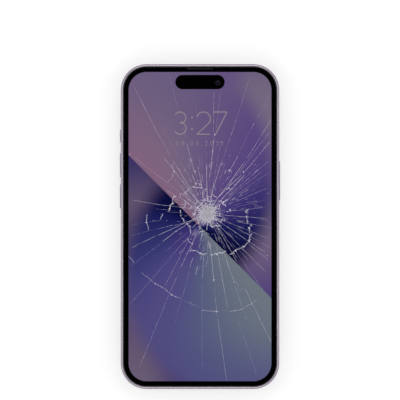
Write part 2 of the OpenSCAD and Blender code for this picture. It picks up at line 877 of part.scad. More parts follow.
module charging_flex() {
    x = charging_flex_x;
    y1 = board_bottom + 1.6;
    color([0.8, 0.5, 0.2]) {
        connector(x, y1, 6, 2);
        ribbon(x, 5, bay_top, y1 + ribbon_t / 2, z_ribbon, z_port_board + 0.5, plug_top);
    }
}

module board_screws() {
    color([0.7, 0.7, 0.72]) for (p = BOARD_SCREWS) translate([p[0], p[1], 0]) {
        translate([0, 0, z_plate + 0.2]) cylinder(r = board_screw_r, h = z_chips - z_plate);
        difference() {
            translate([0, 0, z_chips]) cylinder(r = board_screw_head_r, h = 0.5);
            for (a = [0, 90]) rotate([0, 0, a])
                translate([-0.7, -0.12, z_chips + 0.25]) cube([1.4, 0.24, 1]);
        }
    }
}

// ---- Bottom bay ----

z_port_board = z_floor + 0.2;
bay_right = inner_x - 1.4;

module charging_port() {
    w = port_w + 2 * port_wall;
    h = port_h + 2 * port_wall;
    color([0.6, 0.6, 0.62]) translate([0, 0, z_mid]) difference() {
        along_y(-inner_y + 0.05, port_y) stadium(w, h);
        along_y(-inner_y - over, port_y - 0.6) stadium(port_w, port_h);
    }
}

module port_contacts() {
    base = port_h / 2;
    color(gold) {
        for (i = [0:7]) translate([(i - 3.5) * 0.7 - 0.19, port_y - 4, z_mid - base])
            cube([0.38, 3.4, 0.3]);
    }
}

module port_board() {
    color(board_green) {
        block(-screw_x - 1.6, screw_x + 1.6, port_y + 0.3, bay_top + 0.2, z_floor, z_port_board + 0.5);
        translate([-4, port_y, z_port_board]) cube([8, 1.5, z_mid - z_port_board]);
    }
}

module haptic_motor() {
    color([0.66, 0.66, 0.68]) block(-bay_right, -bay_inner_x - 1.4, -inner_y + 7.4, bay_top, z_floor, z_roof, 1);
}

module bottom_microphone() {
    color([0.75, 0.74, 0.7])
        block(-bay_inner_x - 13, -bay_inner_x - 0.6, -inner_y + 1.5, -inner_y + 6.6, z_floor, z_mid + 1.2, 0.4);
}

module loudspeaker() {
    x0 = bay_inner_x + 1;
    y0 = -inner_y + 1.5;
    color([0.13, 0.13, 0.14]) slab(z_floor, z_roof) intersection() {
        outline(wall_t + 0.3);
        translate([(x0 + bay_right) / 2, (y0 + bay_top) / 2])
            rounded(bay_right - x0, bay_top - y0, 1);
    }
}

module mesh_strip(holes) {
    x0 = min(holes) - 1;
    x1 = max(holes) + 1;
    slab(z_mid - 1.4, z_mid + 1.4) intersection() {
        outline(wall_t + fit);
        translate([x0, -inner_y]) square([x1 - x0, 0.3 + fit]);
    }
}

module speaker_mesh() {
    color([0.2, 0.2, 0.2]) {
        mesh_strip(SPEAKER_HOLES);
        mesh_strip(MIC_HOLES);
    }
}

module bottom_screws() {
    color([0.55, 0.53, 0.57]) for (s = [-1, 1]) translate([s * screw_x, 0, z_mid]) difference() {
        union() {
            along_y(-half_l + 0.1, -half_l + 0.1 + case_screw_head_t) circle(case_screw_head_r);
            along_y(-half_l + 0.2, -half_l + wall_t + case_screw_l - 1) circle(case_screw_r);
        }
        for (a = [0:72:288]) rotate([0, a, 0]) translate([-0.1, -half_l - over, 0])
            cube([0.2, over + 0.35, 0.5]);
    }
}

// ---- Buttons ----

// A button for the right side: cap, flange behind the wall and the plunger that meets a dome.
module button(l, y) {
    translate([0, y, z_mid]) {
        along_x(pocket_x - 0.1, half_w + button_proud) stadium(l, button_h);
        along_x(pocket_x - flange_t, pocket_x - fit)
            stadium(l + 2 * flange_lip, button_h + 2 * flange_lip);
        translate([pocket_x - flange_t - plunger_l, 0, 0]) rotate([0, 90, 0])
            cylinder(r = plunger_r, h = plunger_l + 0.1);
    }
}

module volume_up_button() {
    color(steel) mirror([1, 0, 0]) button(volume_l, volume_up_y);
}

module volume_down_button() {
    color(steel) mirror([1, 0, 0]) button(volume_l, volume_down_y);
}

module side_button() {
    color(steel) button(side_button_l, side_y);
}

module mute_switch() {
    color(steel) mirror([1, 0, 0]) translate([0, mute_y, z_mid + mute_rest]) {
        along_x(pocket_x - 0.1, half_w + button_proud) stadium(mute_l, mute_h);
        along_x(pocket_x - flange_t, pocket_x - fit)
            square([mute_window_l + 0.9, mute_plate_h], center = true);
    }
}

// Switch strip on the inner wall of the right side, with a dome behind each button.
module switch_strip(ys, y_low, y_high) {
    h = 3.2;
    translate([strip_x - strip_t, y_low, z_mid - h / 2]) cube([strip_t, y_high - y_low, h]);
    for (y = ys) translate([strip_x - 0.1, y, z_mid]) rotate([0, 90, 0])
        cylinder(r = dome_r, h = dome_t + 0.1);
    for (y = [y_low, y_high - 1.2])
        translate([strip_x - strip_t, y, z_mid - h / 2]) cube([inner_x - strip_x + strip_t, 1.2, h]);
}

module volume_switch_strip() {
    color([0.75, 0.5, 0.22]) mirror([1, 0, 0])
        switch_strip([volume_up_y, volume_down_y], volume_down_y - volume_l / 2 - 2.4,
                     mute_y - mute_l / 2 - 2.2);
}

module side_switch_strip() {
    color([0.75, 0.5, 0.22])
        switch_strip([side_y], side_y - side_button_l / 2 - 2.4, side_y + side_button_l / 2 + 2.4);
}

side_frame();
antenna_strips();
mid_plate();
back_glass();
lens_rings();
lens_covers();
flash_window();
depth_window();
wide_camera();
tele_camera();
ultra_wide_camera();
camera_cover();
rear_flash();
depth_sensor();
rear_microphone();
cover_glass();
glass_shards();
display_panel();
display_shield();
display_carrier();
front_camera();
infrared_camera();
dot_projector();
front_sensor_bracket();
earpiece_speaker();
earpiece_mesh();
main_board();
processor_shield();
radio_shield();
sim_reader();
sim_tray();
battery();
battery_flex();
display_flex();
charging_flex();
charging_port();
port_contacts();
port_board();
haptic_motor();
loudspeaker();
bottom_microphone();
speaker_mesh();
charging_coil();
alignment_magnets();
volume_up_button();
volume_down_button();
mute_switch();
side_button();
volume_switch_strip();
side_switch_strip();
bottom_screws();
board_screws();
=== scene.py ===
import math
import random

import bmesh
import bpy
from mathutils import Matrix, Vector


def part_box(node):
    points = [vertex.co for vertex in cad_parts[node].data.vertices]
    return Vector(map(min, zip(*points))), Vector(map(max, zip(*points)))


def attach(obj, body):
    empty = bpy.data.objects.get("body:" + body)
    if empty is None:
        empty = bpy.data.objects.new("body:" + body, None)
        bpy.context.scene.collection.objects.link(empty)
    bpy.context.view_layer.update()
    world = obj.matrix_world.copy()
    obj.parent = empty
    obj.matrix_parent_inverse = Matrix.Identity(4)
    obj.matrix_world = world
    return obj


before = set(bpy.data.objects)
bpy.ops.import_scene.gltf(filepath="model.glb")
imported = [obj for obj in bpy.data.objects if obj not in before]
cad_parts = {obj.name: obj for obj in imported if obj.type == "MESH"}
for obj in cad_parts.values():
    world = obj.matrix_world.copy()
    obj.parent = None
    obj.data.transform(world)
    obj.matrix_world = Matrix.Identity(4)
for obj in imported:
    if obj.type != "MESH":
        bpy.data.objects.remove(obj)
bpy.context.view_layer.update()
scene = bpy.context.scene

# ---- Sizes, in metres. MM turns the millimetres of a phone's drawing into metres. ----

MM = 0.001

frame_low, frame_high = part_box("side_frame")
glass_low, glass_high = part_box("cover_glass")
rings_low, rings_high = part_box("lens_rings")

BODY_W = frame_high.x - frame_low.x
BODY_L = frame_high.y - frame_low.y
CORNER_R = 11.7 * MM
GLASS_W = glass_high.x - glass_low.x
GLASS_L = glass_high.y - glass_low.y
FACE_Z = glass_high.z
UNDER_Z = glass_low.z
PLATEAU_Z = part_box("back_glass")[0].z
PLATEAU_STEP = 1.05 * MM
RING_R = 7.6 * MM

BORDER = 3.55 * MM
DISPLAY_W = BODY_W - 2 * BORDER
DISPLAY_L = BODY_L - 2 * BORDER
DISPLAY_R = CORNER_R - BORDER
PILL_W = 22.4 * MM
PILL_H = 6.5 * MM
PILL_AT = Vector((0, BODY_L / 2 - 8.1 * MM))
FRONT_LENS_AT = PILL_AT + Vector((8.1, -0.4)) * MM

IMPACT = Vector((3.5, 5.8)) * MM


# ---- Shader maths ----


class Socket:
    """A material's socket that works in sums, such as 1 - mask * 0.5.

    One that holds a tree and no socket is where a material's nodes start.
    """

    def __init__(self, tree, socket=None):
        self.tree = tree
        self.socket = socket

    def add(self, kind, inputs=(), settings=(), output=0):
        """Any shader node, with the values or links of its sockets and its own settings."""
        node = self.tree.nodes.new("ShaderNode" + kind)
        for name, value in dict(settings).items():
            if name == "stops":
                set_stops(node.color_ramp, value)
            else:
                setattr(node, name, value)
        for name, value in dict(inputs).items():
            if isinstance(value, Socket):
                self.tree.links.new(value.socket, node.inputs[name])
            else:
                node.inputs[name].default_value = value
        return Socket(self.tree, node.outputs[output] if node.outputs else None)

    def math(self, operation, first, second=0.0, clamp=False):
        settings = {"operation": operation, "use_clamp": clamp}
        return self.add("Math", {0: first, 1: second}, settings)

    def vector(self, operation, first, second=(0, 0, 0), output=0):
        settings = {"operation": operation}
        return self.add("VectorMath", {0: first, 1: second}, settings, output)

    def __add__(self, other):
        return self.math("ADD", self, other)

    __radd__ = __add__

    def __sub__(self, other):
        return self.math("SUBTRACT", self, other)

    def __rsub__(self, other):
        return self.math("SUBTRACT", other, self)

    def __mul__(self, other):
        return self.math("MULTIPLY", self, other)

    __rmul__ = __mul__

    def __truediv__(self, other):
        return self.math("DIVIDE", self, other)

    def sine(self):
        return self.math("SINE", self)

    def root(self):
        return self.math("SQRT", self)

    def above(self, edge, softness):
        """0 below the edge and 1 above it, with a soft step between."""
        inputs = {"Value": self, "From Min": edge - softness, "From Max": edge + softness}
        return self.add("MapRange", inputs, {"interpolation_type": "SMOOTHSTEP"})

    def clamped(self):
        return self.math("ADD", self, 0.0, clamp=True)

    def ramp(self, *stops):
        """A colour ramp, from stops of (position, red, green, blue) in 0 to 255 steps."""
        return self.add("ValToRGB", {"Fac": self}, {"stops": stops})

    def mix(self, low, high):
        """Colour low where this mask is 0, and colour high where it is 1."""
        return self.add("Mix", {0: self, 6: low, 7: high}, {"data_type": "RGBA"}, 2)

    def blend(self, low, high):
        """Shader low where this mask is 0, and shader high where it is 1."""
        return self.add("MixShader", {0: self, 1: low, 2: high})


def set_stops(ramp, stops):
    """Gives a colour ramp its stops in place of the two that it comes with."""
    while len(ramp.elements) > 1:
        ramp.elements.remove(ramp.elements[-1])
    for i, (position, *colour) in enumerate(stops):
        element = ramp.elements[0] if i == 0 else ramp.elements.new(position)
        element.position = position
        element.color = paint(*colour)


def paint(red, green, blue):
    """A colour written in the usual 0 to 255 steps, as the shader's linear colour."""
    steps = (red, green, blue)
    linear = [((c / 255 + 0.055) / 1.055) ** 2.4 if c > 10 else c / 255 / 12.92 for c in steps]
    return (*linear, 1.0)


def toned(colour, factor):
    """A lighter or darker form of a colour."""
    return (*(min(1, c * factor) for c in colour[:3]), 1)


def new_material(name):
    material = bpy.data.materials.new(name)
    material.use_nodes = True
    material.node_tree.nodes.clear()
    return material, Socket(material.node_tree)


def place(start, axis=None):
    """The object's own coordinates in millimetres: the whole vector, or one axis of it."""
    vector = start.add("TexCoord", output=3)
    scaled = start.add("VectorMath", {0: vector, 3: 1 / MM}, {"operation": "SCALE"})
    if axis is None:
        return scaled
    return start.add("SeparateXYZ", {0: scaled}, output=axis)


def grain(start, scale, detail=2.0, roughness=0.5, stretch=None):
    """Noise from 0 to 1, whose scale is in features for each millimetre of the object."""
    vector = place(start)
    if stretch:
        vector = start.add("Mapping", {"Vector": vector, "Scale": stretch})
    inputs = {"Vector": vector, "Scale": scale, "Detail": detail, "Roughness": roughness}
    return start.add("TexNoise", inputs)


def carried(start, name):
    """A number that the piece's own points carry."""
    return start.add("Attribute", settings={"attribute_name": name}, output=2)


def bump(start, height, depth):
    """Relief from a height of 0 to 1, as deep as a number of millimetres."""
    return start.add("Bump", {"Height": height, "Distance": depth * MM})


def ray(start, kind):
    """1 for the rays of one kind, such as Camera."""
    return start.add("LightPath", output=f"Is {kind} Ray")


def finish_surface(start, shader):
    start.add("OutputMaterial", {"Surface": shader})


def finish_recipe(recipe):
    """Turns a recipe, which gives a Principled shader's inputs, into a maker of materials."""

    def make(name, *options):
        material, start = new_material(name)
        shader = start.add("BsdfPrincipled", recipe(start, *options))
        finish_surface(start, shader)
        return material

    return make


# ---- Finishes ----

GLASS_IOR = 1.5


@finish_recipe
def polished_metal(start, colour, rough, wear):
    """Coated steel: even gloss with faint hairlines, handling marks and rubbed spots."""
    marks = grain(start, 0.35, 4.0, 0.6)
    hairlines = grain(start, 9.0, 3.0, 0.6, (0.08, 0.08, 1.0))
    rubbed = marks.above(0.66, 0.06) * wear
    return {
        "Base Color": rubbed.mix(colour, toned(colour, 1.25)),
        "Metallic": 1.0,
        "Roughness": (rough + marks * 0.08 + hairlines * 0.05 + rubbed * 0.12).clamped(),
        "Normal": bump(start, hairlines * 0.6 + marks * 0.4, 0.004),
    }


@finish_recipe
def moulded_plastic(start, colour, rough, speckle=0.15):
    """Moulded plastic with a fine spark-eroded texture."""
    pits = grain(start, 12.0)
    tone = grain(start, 0.6, 3.0)
    return {
        "Base Color": tone.mix(toned(colour, 1 - speckle), colour),
        "Roughness": (rough + pits * 0.12).clamped(),
        "Normal": bump(start, pits, 0.01),
    }


@finish_recipe
def plain_metal(start, colour, rough):
    """Rolled or stamped sheet with the grain of its rolling."""
    rolled = grain(start, 6.0, 4.0, 0.6, (1.0, 0.05, 1.0))
    cloud = grain(start, 0.3, 3.0)
    return {
        "Base Color": cloud.mix(toned(colour, 0.86), colour),
        "Metallic": 1.0,
        "Roughness": (rough + rolled * 0.14).clamped(),
        "Normal": bump(start, rolled, 0.005),
    }


def clear_glass(name, tint, gloss_tint, smudge):
    """Clear glass: see-through, with a gloss on its outer faces and faint finger marks."""
    material, start = new_material(name)
    marks = grain(start, 0.09, 5.0, 0.62).above(0.55, 0.12)
    facing = start.add("NewGeometry", output="True Normal")
    inner = start.add("NewGeometry", output="Backfacing")
    face = start.add("SeparateXYZ", {0: facing}, output="Z").above(0.97, 0.01)
    gloss_inputs = {"Color": gloss_tint, "Roughness": 0.015 + marks * smudge, "Normal": facing}
    gloss = start.add("BsdfGlossy", gloss_inputs)
    through = start.add("BsdfTransparent", {"Color": tint})
    mirrored = start.add("Fresnel", {"IOR": GLASS_IOR, "Normal": facing})
    # A pane's rim mirrors less than its face: painted shade that dims the rim's reflection, so that
    # the black seal in its gap shows through.
    share = mirrored * (1 - inner) * (0.3 + face * 0.7)
    finish_surface(start, share.blend(through, gloss))
    return material


@finish_recipe
def frosted_back(start):
    """Etched back glass: mauve-grey, silky and rubbed, and glossier on the camera plateau."""
    plateau = 1 - place(start, "Z").above((PLATEAU_Z + PLATEAU_STEP) / MM, 0.04)
    sparkle = grain(start, 14.0)
    cloud = grain(start, 0.05)
    etched = cloud.mix(paint(98, 88, 106), paint(106, 96, 114))
    smears = grain(start, 0.045, 4.0, 0.6).above(0.56, 0.12)
    scratches = grain(start, 0.5, 2.0, 0.5, (0.06, 2.6, 1.0)).above(0.74, 0.02)
    rubs = smears * 0.35 + scratches * 0.65
    rough = 0.42 - plateau * 0.32 + sparkle * 0.1 + smears * 0.1 - scratches * 0.15
    return {
        "Base Color": rubs.mix(etched, paint(122, 113, 130)),
        "Roughness": rough.clamped(),
        "Normal": bump(start, sparkle * (1 - plateau), 0.004),
        "Coat Weight": 0.5 - smears * 0.3,
        "Coat Roughness": 0.12,
    }


@finish_recipe
def coated_element(start):
    """Deep purple coated glass of a rear lens."""
    bloom = grain(start, 0.8)
    return {
        "Base Color": bloom.mix((0.015, 0.006, 0.025, 1), (0.03, 0.012, 0.05, 1)),
        "Roughness": 0.04,
        "Coat Weight": 1.0,
        "Coat Roughness": 0.02,
    }


@finish_recipe
def ringed_element(start):
    """The front lens: a black dome with a paler ring and a painted highlight just above its middle.
    """
    x = place(start, "X") - FRONT_LENS_AT.x / MM
    y = place(start, "Y") - FRONT_LENS_AT.y / MM
    radius = (x * x + y * y).root()
    ring = radius.above(0.62, 0.12) * (1 - radius.above(1.12, 0.12))
    # The lighter spot above the middle is a painted highlight, standing in for the coating's
    # reflection.
    lift = y - 0.55
    painted_highlight = 1 - (x * x + lift * lift).root().above(0.3, 0.25)
    colour = ring.mix((0.004, 0.003, 0.006, 1), (0.016, 0.013, 0.022, 1))
    return {
        "Base Color": painted_highlight.mix(colour, (0.035, 0.026, 0.05, 1)),
        "Roughness": 0.35,
        "Specular IOR Level": 0.0,
    }


@finish_recipe
def black_ink(start):
    """The printed border under the glass: as black as the pane gets."""
    film = grain(start, 3.0)
    return {
        "Base Color": film.mix((0.0006, 0.0006, 0.0008, 1), (0.001, 0.001, 0.0014, 1)),
        "Roughness": 0.6,
        "Specular IOR Level": 0.0,
    }


@finish_recipe
def woven_mesh(start):
    """Fine metal gauze: rows of dark holes in a charcoal weave."""
    threads = 22.0
    x = place(start, "X") * threads
    y = place(start, "Y") * threads
    z = place(start, "Z") * threads
    wire = (x.sine() * (y + z).sine()).above(0.0, 0.5)
    return {
        "Base Color": wire.mix((0.001, 0.001, 0.0015, 1), (0.012, 0.01, 0.014, 1)),
        "Roughness": 0.6,
        "Specular IOR Level": 0.15,
        "Normal": bump(start, wire, 0.02),
    }


@finish_recipe
def circuit_board(start):
    """Dark green board with solder mask and fine copper runs under it."""
    x = place(start, "X")
    y = place(start, "Y")
    runs = (x * 9.0 + grain(start, 0.4, 1.0) * 14.0).sine().above(0.55, 0.1)
    pads = (y * 7.0 + grain(start, 0.3, 1.0) * 9.0).sine().above(0.8, 0.08)
    mask = (runs + pads).clamped()
    return {
        "Base Color": mask.mix((0.01, 0.045, 0.035, 1), (0.03, 0.09, 0.06, 1)),
        "Roughness": 0.35 + mask * 0.1,
        "Normal": bump(start, mask, 0.02),
    }


@finish_recipe
def battery_wrap(start):
    """Black pouch foil, slightly wrinkled."""
    wrinkles = grain(start, 0.5, 4.0, 0.55)
    return {
        "Base Color": wrinkles.mix((0.012, 0.012, 0.013, 1), (0.03, 0.03, 0.032, 1)),
        "Roughness": 0.38 + wrinkles * 0.2,
        "Normal": bump(start, wrinkles, 0.12),
    }


@finish_recipe
def ribbon_film(start):
    """Amber film with copper tracks along its length."""
    along = place(start, "X") + place(start, "Y")
    tracks = (along * 16.0).sine().above(0.0, 0.4)
    return {
        "Base Color": tracks.mix(paint(120, 66, 20), paint(196, 122, 52)),
        "Roughness": 0.3 + tracks * 0.1,
        "Coat Weight": 0.4,
    }


@finish_recipe
def wound_copper(start):
    """Rings of enamelled copper wire, side by side."""
    radius = start.vector("LENGTH", place(start), output=1)
    wires = (radius * 12.0).sine() * 0.5 + 0.5
    return {
        "Base Color": wires.mix(paint(112, 58, 34), paint(214, 132, 88)),
        "Metallic": 1.0,
        "Roughness": 0.3,
        "Normal": bump(start, wires, 0.05),
    }


@finish_recipe
def flash_resin(start):
    """Yellow phosphor behind a clear ribbed window."""
    cells = grain(start, 4.0)
    return {
        "Base Color": cells.mix(paint(222, 204, 120), paint(240, 228, 168)),
        "Roughness": 0.25,
        "Coat Weight": 0.8,
        "Coat Roughness": 0.05,
        "Normal": bump(start, cells, 0.03),
    }


@finish_recipe
def lit_picture(start):
    """The lit display: a diagonal, two soft fields and a slow sweep of colour."""
    x = place(start, "X")
    y = place(start, "Y")

    def soft_disc(cx, cy, radius, softness):
        """1 inside a round field and 0 outside it."""
        dx = x - cx
        dy = y - cy
        return 1 - (dx * dx + dy * dy).root().above(radius, softness)

    above = (x + y).above(0.0, 0.3)
    angle = start.math("ARCTAN2", y, x) / (2 * math.pi)
    # The sweep starts along the lower right of the diagonal and turns anticlockwise.
    turn = start.math("FRACT", angle + 1.125)
    upper = turn.ramp(
        (0.0, 0, 1, 51), (0.045, 3, 6, 59), (0.125, 21, 23, 84), (0.203, 59, 48, 112),
        (0.25, 82, 66, 125), (0.29, 89, 70, 127), (0.335, 97, 78, 127), (0.375, 104, 86, 127),
        (0.417, 115, 98, 128), (0.458, 126, 100, 126), (0.5, 130, 98, 126),
    )
    lower = turn.ramp(
        (0.5, 0, 1, 51), (0.55, 3, 6, 65), (0.583, 20, 22, 83), (0.625, 34, 36, 96),
        (0.697, 52, 53, 111), (0.75, 70, 66, 124), (0.792, 78, 72, 128), (0.836, 80, 77, 128),
        (0.875, 84, 90, 127), (0.914, 93, 102, 126), (0.958, 103, 112, 127),
        (1.0, 108, 117, 127),
    )
    height = y / DISPLAY_L * MM + 0.5
    outer_right = height.ramp(
        (0.22, 74, 58, 118), (0.29, 82, 66, 122), (0.36, 96, 80, 122), (0.43, 110, 94, 126),
        (0.5, 117, 102, 131), (0.82, 120, 107, 129), (0.93, 115, 102, 127), (1.0, 108, 96, 126),
    )
    corner = (1 - x.above(18.0, 8.0)) * height.above(0.955, 0.035)
    outer_right = corner.mix(outer_right, paint(98, 80, 127))
    outer_left = height.ramp(
        (0.0, 105, 92, 116), (0.14, 97, 81, 110), (0.36, 93, 78, 108), (0.5, 90, 76, 105),
        (0.58, 95, 81, 109), (0.64, 80, 68, 105), (0.7, 60, 51, 98), (0.74, 50, 42, 97),
    )
    outer_left = x.above(-16.0, 12.0).mix(outer_left, paint(70, 52, 103))
    top_haze = height.above(0.86, 0.16) * (1 - x.above(8.0, 20.0)) * 0.6
    upper = top_haze.mix(upper, paint(100, 88, 126))
    low_haze = (1 - height.above(0.08, 0.13)) * 0.75
    lower = low_haze.mix(lower, paint(77, 71, 128))
    bruise = soft_disc(-5.0, -8.0, 6.5, 6.0) * 0.6
    lower = bruise.mix(lower, paint(64, 42, 116))
    upper_half = soft_disc(-25.0, 22.0, 59.0, 6.0).mix(outer_right, upper)
    lower_half = soft_disc(25.0, -22.0, 59.0, 6.0).mix(outer_left, lower)
    return {
        "Base Color": (0.004, 0.004, 0.005, 1),
        "Roughness": 0.3,
        "Specular IOR Level": 0.0,
        "Emission Color": above.mix(lower_half, upper_half),
        "Emission Strength": 1.02,
    }


@finish_recipe
def dark_panel(start):
    """The unlit layers of the display, with the faint grid of their cells."""
    x = place(start, "X") * 30.0
    y = place(start, "Y") * 30.0
    cells = (x.sine() * y.sine()).above(0.0, 0.5)
    return {
        "Base Color": cells.mix((0.004, 0.004, 0.005, 1), (0.012, 0.012, 0.016, 1)),
        "Roughness": 0.25,
        "Specular IOR Level": 0.3,
    }


@finish_recipe
def lit_figures(start, strength):
    """Pale figures of the read-out, let into the picture."""
    film = grain(start, 0.4)
    return {
        "Base Color": (0.01, 0.01, 0.01, 1),
        "Emission Color": film.mix(paint(146, 134, 142), paint(154, 142, 146)),
        "Emission Strength": 1.0,
        "Alpha": strength,
        "Specular IOR Level": 0.0,
    }


@finish_recipe
def fracture_sheet(start):
    """The faces of a crack inside the pane: whitish and broken up, with faint blue edges painted in
    as the display's glow through them.
    """
    across = carried(start, "across")
    chips = grain(start, 1.6, 3.0, 0.6)
    flecks = grain(start, 5.0, 2.0, 0.6)
    broken = 0.62 + chips.above(0.5, 0.14) * 0.45 + flecks.above(0.58, 0.08) * 0.4
    cover = (carried(start, "strength") * (1 - across * across) * broken).clamped()
    white = flecks.mix(paint(216, 210, 222), paint(240, 236, 244))
    return {
        # Where the crack is thin its colour turns blue: painted light of the display glowing
        # through it.
        "Base Color": cover.above(0.42, 0.4).mix(paint(100, 100, 200), white),
        "Roughness": 0.45,
        "Alpha": cover,
        "Specular IOR Level": 0.2,
    }


def impact_streaks(start):
    """Noise in streaks that run away from the impact."""
    centre = (IMPACT.x / MM, IMPACT.y / MM, FACE_Z / MM)
    away = start.vector("SUBTRACT", place(start), centre)
    distance = start.vector("LENGTH", away, output=1)
    lift = start.add("CombineXYZ", {"Z": distance * 0.09})
    spread = start.vector("ADD", start.vector("NORMALIZE", away), lift)
    inputs = {"Vector": spread, "Scale": 7.5, "Detail": 4.0, "Roughness": 0.65}
    return start.add("TexNoise", inputs)


def powder_colour(streaks, chips):
    """Whitened glass: grey hollows and pale splinters, drawn out from the impact."""
    return (streaks * 0.62 + chips * 0.38).ramp(
        (0.4, 144, 136, 151), (0.48, 178, 171, 183), (0.58, 210, 206, 214),
    )


@finish_recipe
def crushed_glass(start):
    """Glass splinters at the impact: whitened, with bruised faces."""
    chips = grain(start, 2.2, 3.0, 0.6)
    return {
        "Base Color": powder_colour(impact_streaks(start), chips),
        "Roughness": 0.5,
        "Specular IOR Level": 0.25,
        "Normal": bump(start, chips, 0.1),
    }


@finish_recipe
def powder_sheet(start):
    """Powdered glass round the impact: solid in the middle, then in streaks that thin out."""
    streaks = impact_streaks(start)
    chips = grain(start, 2.2, 3.0, 0.6)
    level = (streaks - 0.5) * 4.2 + (chips - 0.5) * 1.6 + carried(start, "strength") * 2.6 - 1.55
    return {
        "Base Color": powder_colour(streaks, chips),
        "Roughness": 0.5,
        "Alpha": level.above(0.5, 0.1) * 0.97,
        "Specular IOR Level": 0.2,
        "Normal": bump(start, chips, 0.1),
    }


barrel_plastic = moulded_plastic("barrel_plastic", (0.075, 0.07, 0.082, 1), 0.35)
violet_element = coated_element("violet_element")
front_element = ringed_element("front_element")
ink = black_ink("border_ink")
picture = lit_picture("lit_picture")
clock_light = lit_figures("clock_light", 0.8)
date_light = lit_figures("date_light", 0.55)
crack_white = fracture_sheet("crack_white")
powder_film = powder_sheet("powder_film")

# Each finish of the pieces that come from the CAD, with their names.
FINISH_OF = {
    polished_metal("mauve_steel", paint(155, 145, 159), 0.2, 0.5): ["side_frame", "sim_tray"],
    # The keys are the frame's steel painted lighter: painted light on their tops, which mirror the
    # dark card.
    polished_metal("key_steel", paint(180, 170, 184), 0.36, 0.8): [
        "volume_up_button", "volume_down_button", "mute_switch", "side_button",
    ],
    polished_metal("ring_steel", paint(150, 142, 156), 0.14, 0.3): ["lens_rings"],
    plain_metal("screw_steel", paint(172, 168, 178), 0.28): ["bottom_screws", "board_screws"],
    plain_metal("sheet_steel", paint(196, 196, 200), 0.3): [
        "display_shield", "processor_shield", "radio_shield", "sim_reader", "charging_port",
        "rear_microphone", "bottom_microphone", "haptic_motor", "camera_cover",
    ],
    plain_metal("rolled_plate", paint(178, 178, 182), 0.42): ["mid_plate", "front_sensor_bracket"],
    plain_metal("magnet_plate", paint(148, 150, 154), 0.34): ["alignment_magnets"],
    plain_metal("gold_plate", paint(226, 186, 96), 0.22): ["port_contacts"],
    moulded_plastic("break_plastic", paint(176, 170, 178), 0.45, 0.05): ["antenna_strips"],
    moulded_plastic("black_plastic", (0.0018, 0.0018, 0.002, 1), 0.6): ["display_carrier"],
    moulded_plastic("sensor_plastic", (0.02, 0.02, 0.022, 1), 0.4): [
        "wide_camera", "tele_camera", "ultra_wide_camera", "depth_sensor", "front_camera",
        "infrared_camera", "dot_projector",
    ],
    moulded_plastic("speaker_plastic", (0.025, 0.025, 0.027, 1), 0.5): [
        "earpiece_speaker", "loudspeaker",
    ],
    clear_glass("front_pane", (1, 1, 1, 1), (1, 1, 1, 1), 0.05): ["cover_glass"],
    clear_glass("lens_pane", (0.85, 0.84, 0.9, 1), paint(120, 98, 150), 0.02): [
        "lens_covers", "flash_window",
    ],
    violet_element: ["depth_window"],
    frosted_back("etched_back"): ["back_glass"],
    woven_mesh("gauze"): ["earpiece_mesh", "speaker_mesh"],
    circuit_board("board_mask"): ["main_board", "port_board"],
    battery_wrap("pouch_foil"): ["battery"],
    ribbon_film("amber_film"): [
        "battery_flex", "display_flex", "charging_flex", "volume_switch_strip", "side_switch_strip",
    ],
    wound_copper("copper_wire"): ["charging_coil"],
    flash_resin("phosphor"): ["rear_flash"],
    dark_panel("panel_stack"): ["display_panel"],
    crushed_glass("powder_white"): ["glass_shards"],
}


# ---- Making pieces ----


def new_object(name, bm, material):
    mesh = bpy.data.meshes.new(name)
    bm.to_mesh(mesh)
    bm.free()
    mesh.materials.append(material)
    made = bpy.data.objects.new(name, mesh)
    scene.collection.objects.link(made)
    return made


def make_piece(name, bm, material, smooth=False):
    """Turns a bmesh into a piece that rides on the phone."""
    piece = new_object(name, bm, material)
    if smooth:
        piece.data.shade_smooth()
    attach(piece, "phone")


def flat_face(width, length, at):
    """A flat face with square corners."""
    bm = bmesh.new()
    bmesh.ops.create_grid(bm, x_segments=1, y_segments=1, size=0.5)
    bmesh.ops.scale(bm, vec=(width, length, 1), verts=bm.verts[:])
    bmesh.ops.translate(bm, vec=at, verts=bm.verts[:])
    return bm


def rounded_face(width, length, radius, at):
    """A flat face with round corners."""
    bm = flat_face(width, length, at)
    bmesh.ops.bevel(
        bm, geom=bm.verts[:], offset=radius, offset_type="OFFSET", segments=24, profile=0.5,
        affect="VERTICES", material=-1,
    )
    return bm


def turned(bm, profile, at, base=0.0):
    """A turned shape: (radius, height) points in mm over a base, spun round an upright axis."""
    verts = [bm.verts.new((at[0] + radius * MM, at[1], base + h * MM)) for radius, h in profile]
    edges = [bm.edges.new(pair) for pair in zip(verts, verts[1:])]
    bmesh.ops.spin(
        bm, geom=verts + edges, cent=(at[0], at[1], 0), axis=(0, 0, 1), angle=2 * math.pi,
        steps=48, use_merge=True,
    )
    bmesh.ops.remove_doubles(bm, verts=bm.verts[:], dist=1e-7)
    bmesh.ops.recalc_face_normals(bm, faces=bm.faces[:])


# ---- Print and read-out under the pane ----

PICTURE_Z = UNDER_Z + 0.02 * MM
FIGURE_Z = UNDER_Z + 0.03 * MM
INK_Z = UNDER_Z + 0.04 * MM
INK_EDGE = 0.03 * MM
FRONT_LENS = (
    (1.3, 0.0), (1.3, 0.05), (1.15, 0.08), (1.05, 0.03), (0.8, 0.03), (0.7, 0.12), (0.4, 0.2),
    (0, 0.22),
)


def picture_sheet():
    """The layer that lights up, just over the panel."""
    lap = 0.2 * MM
    bm = rounded_face(DISPLAY_W + lap, DISPLAY_L + lap, DISPLAY_R, (0, 0, PICTURE_Z))
    make_piece("picture_sheet", bm, picture)


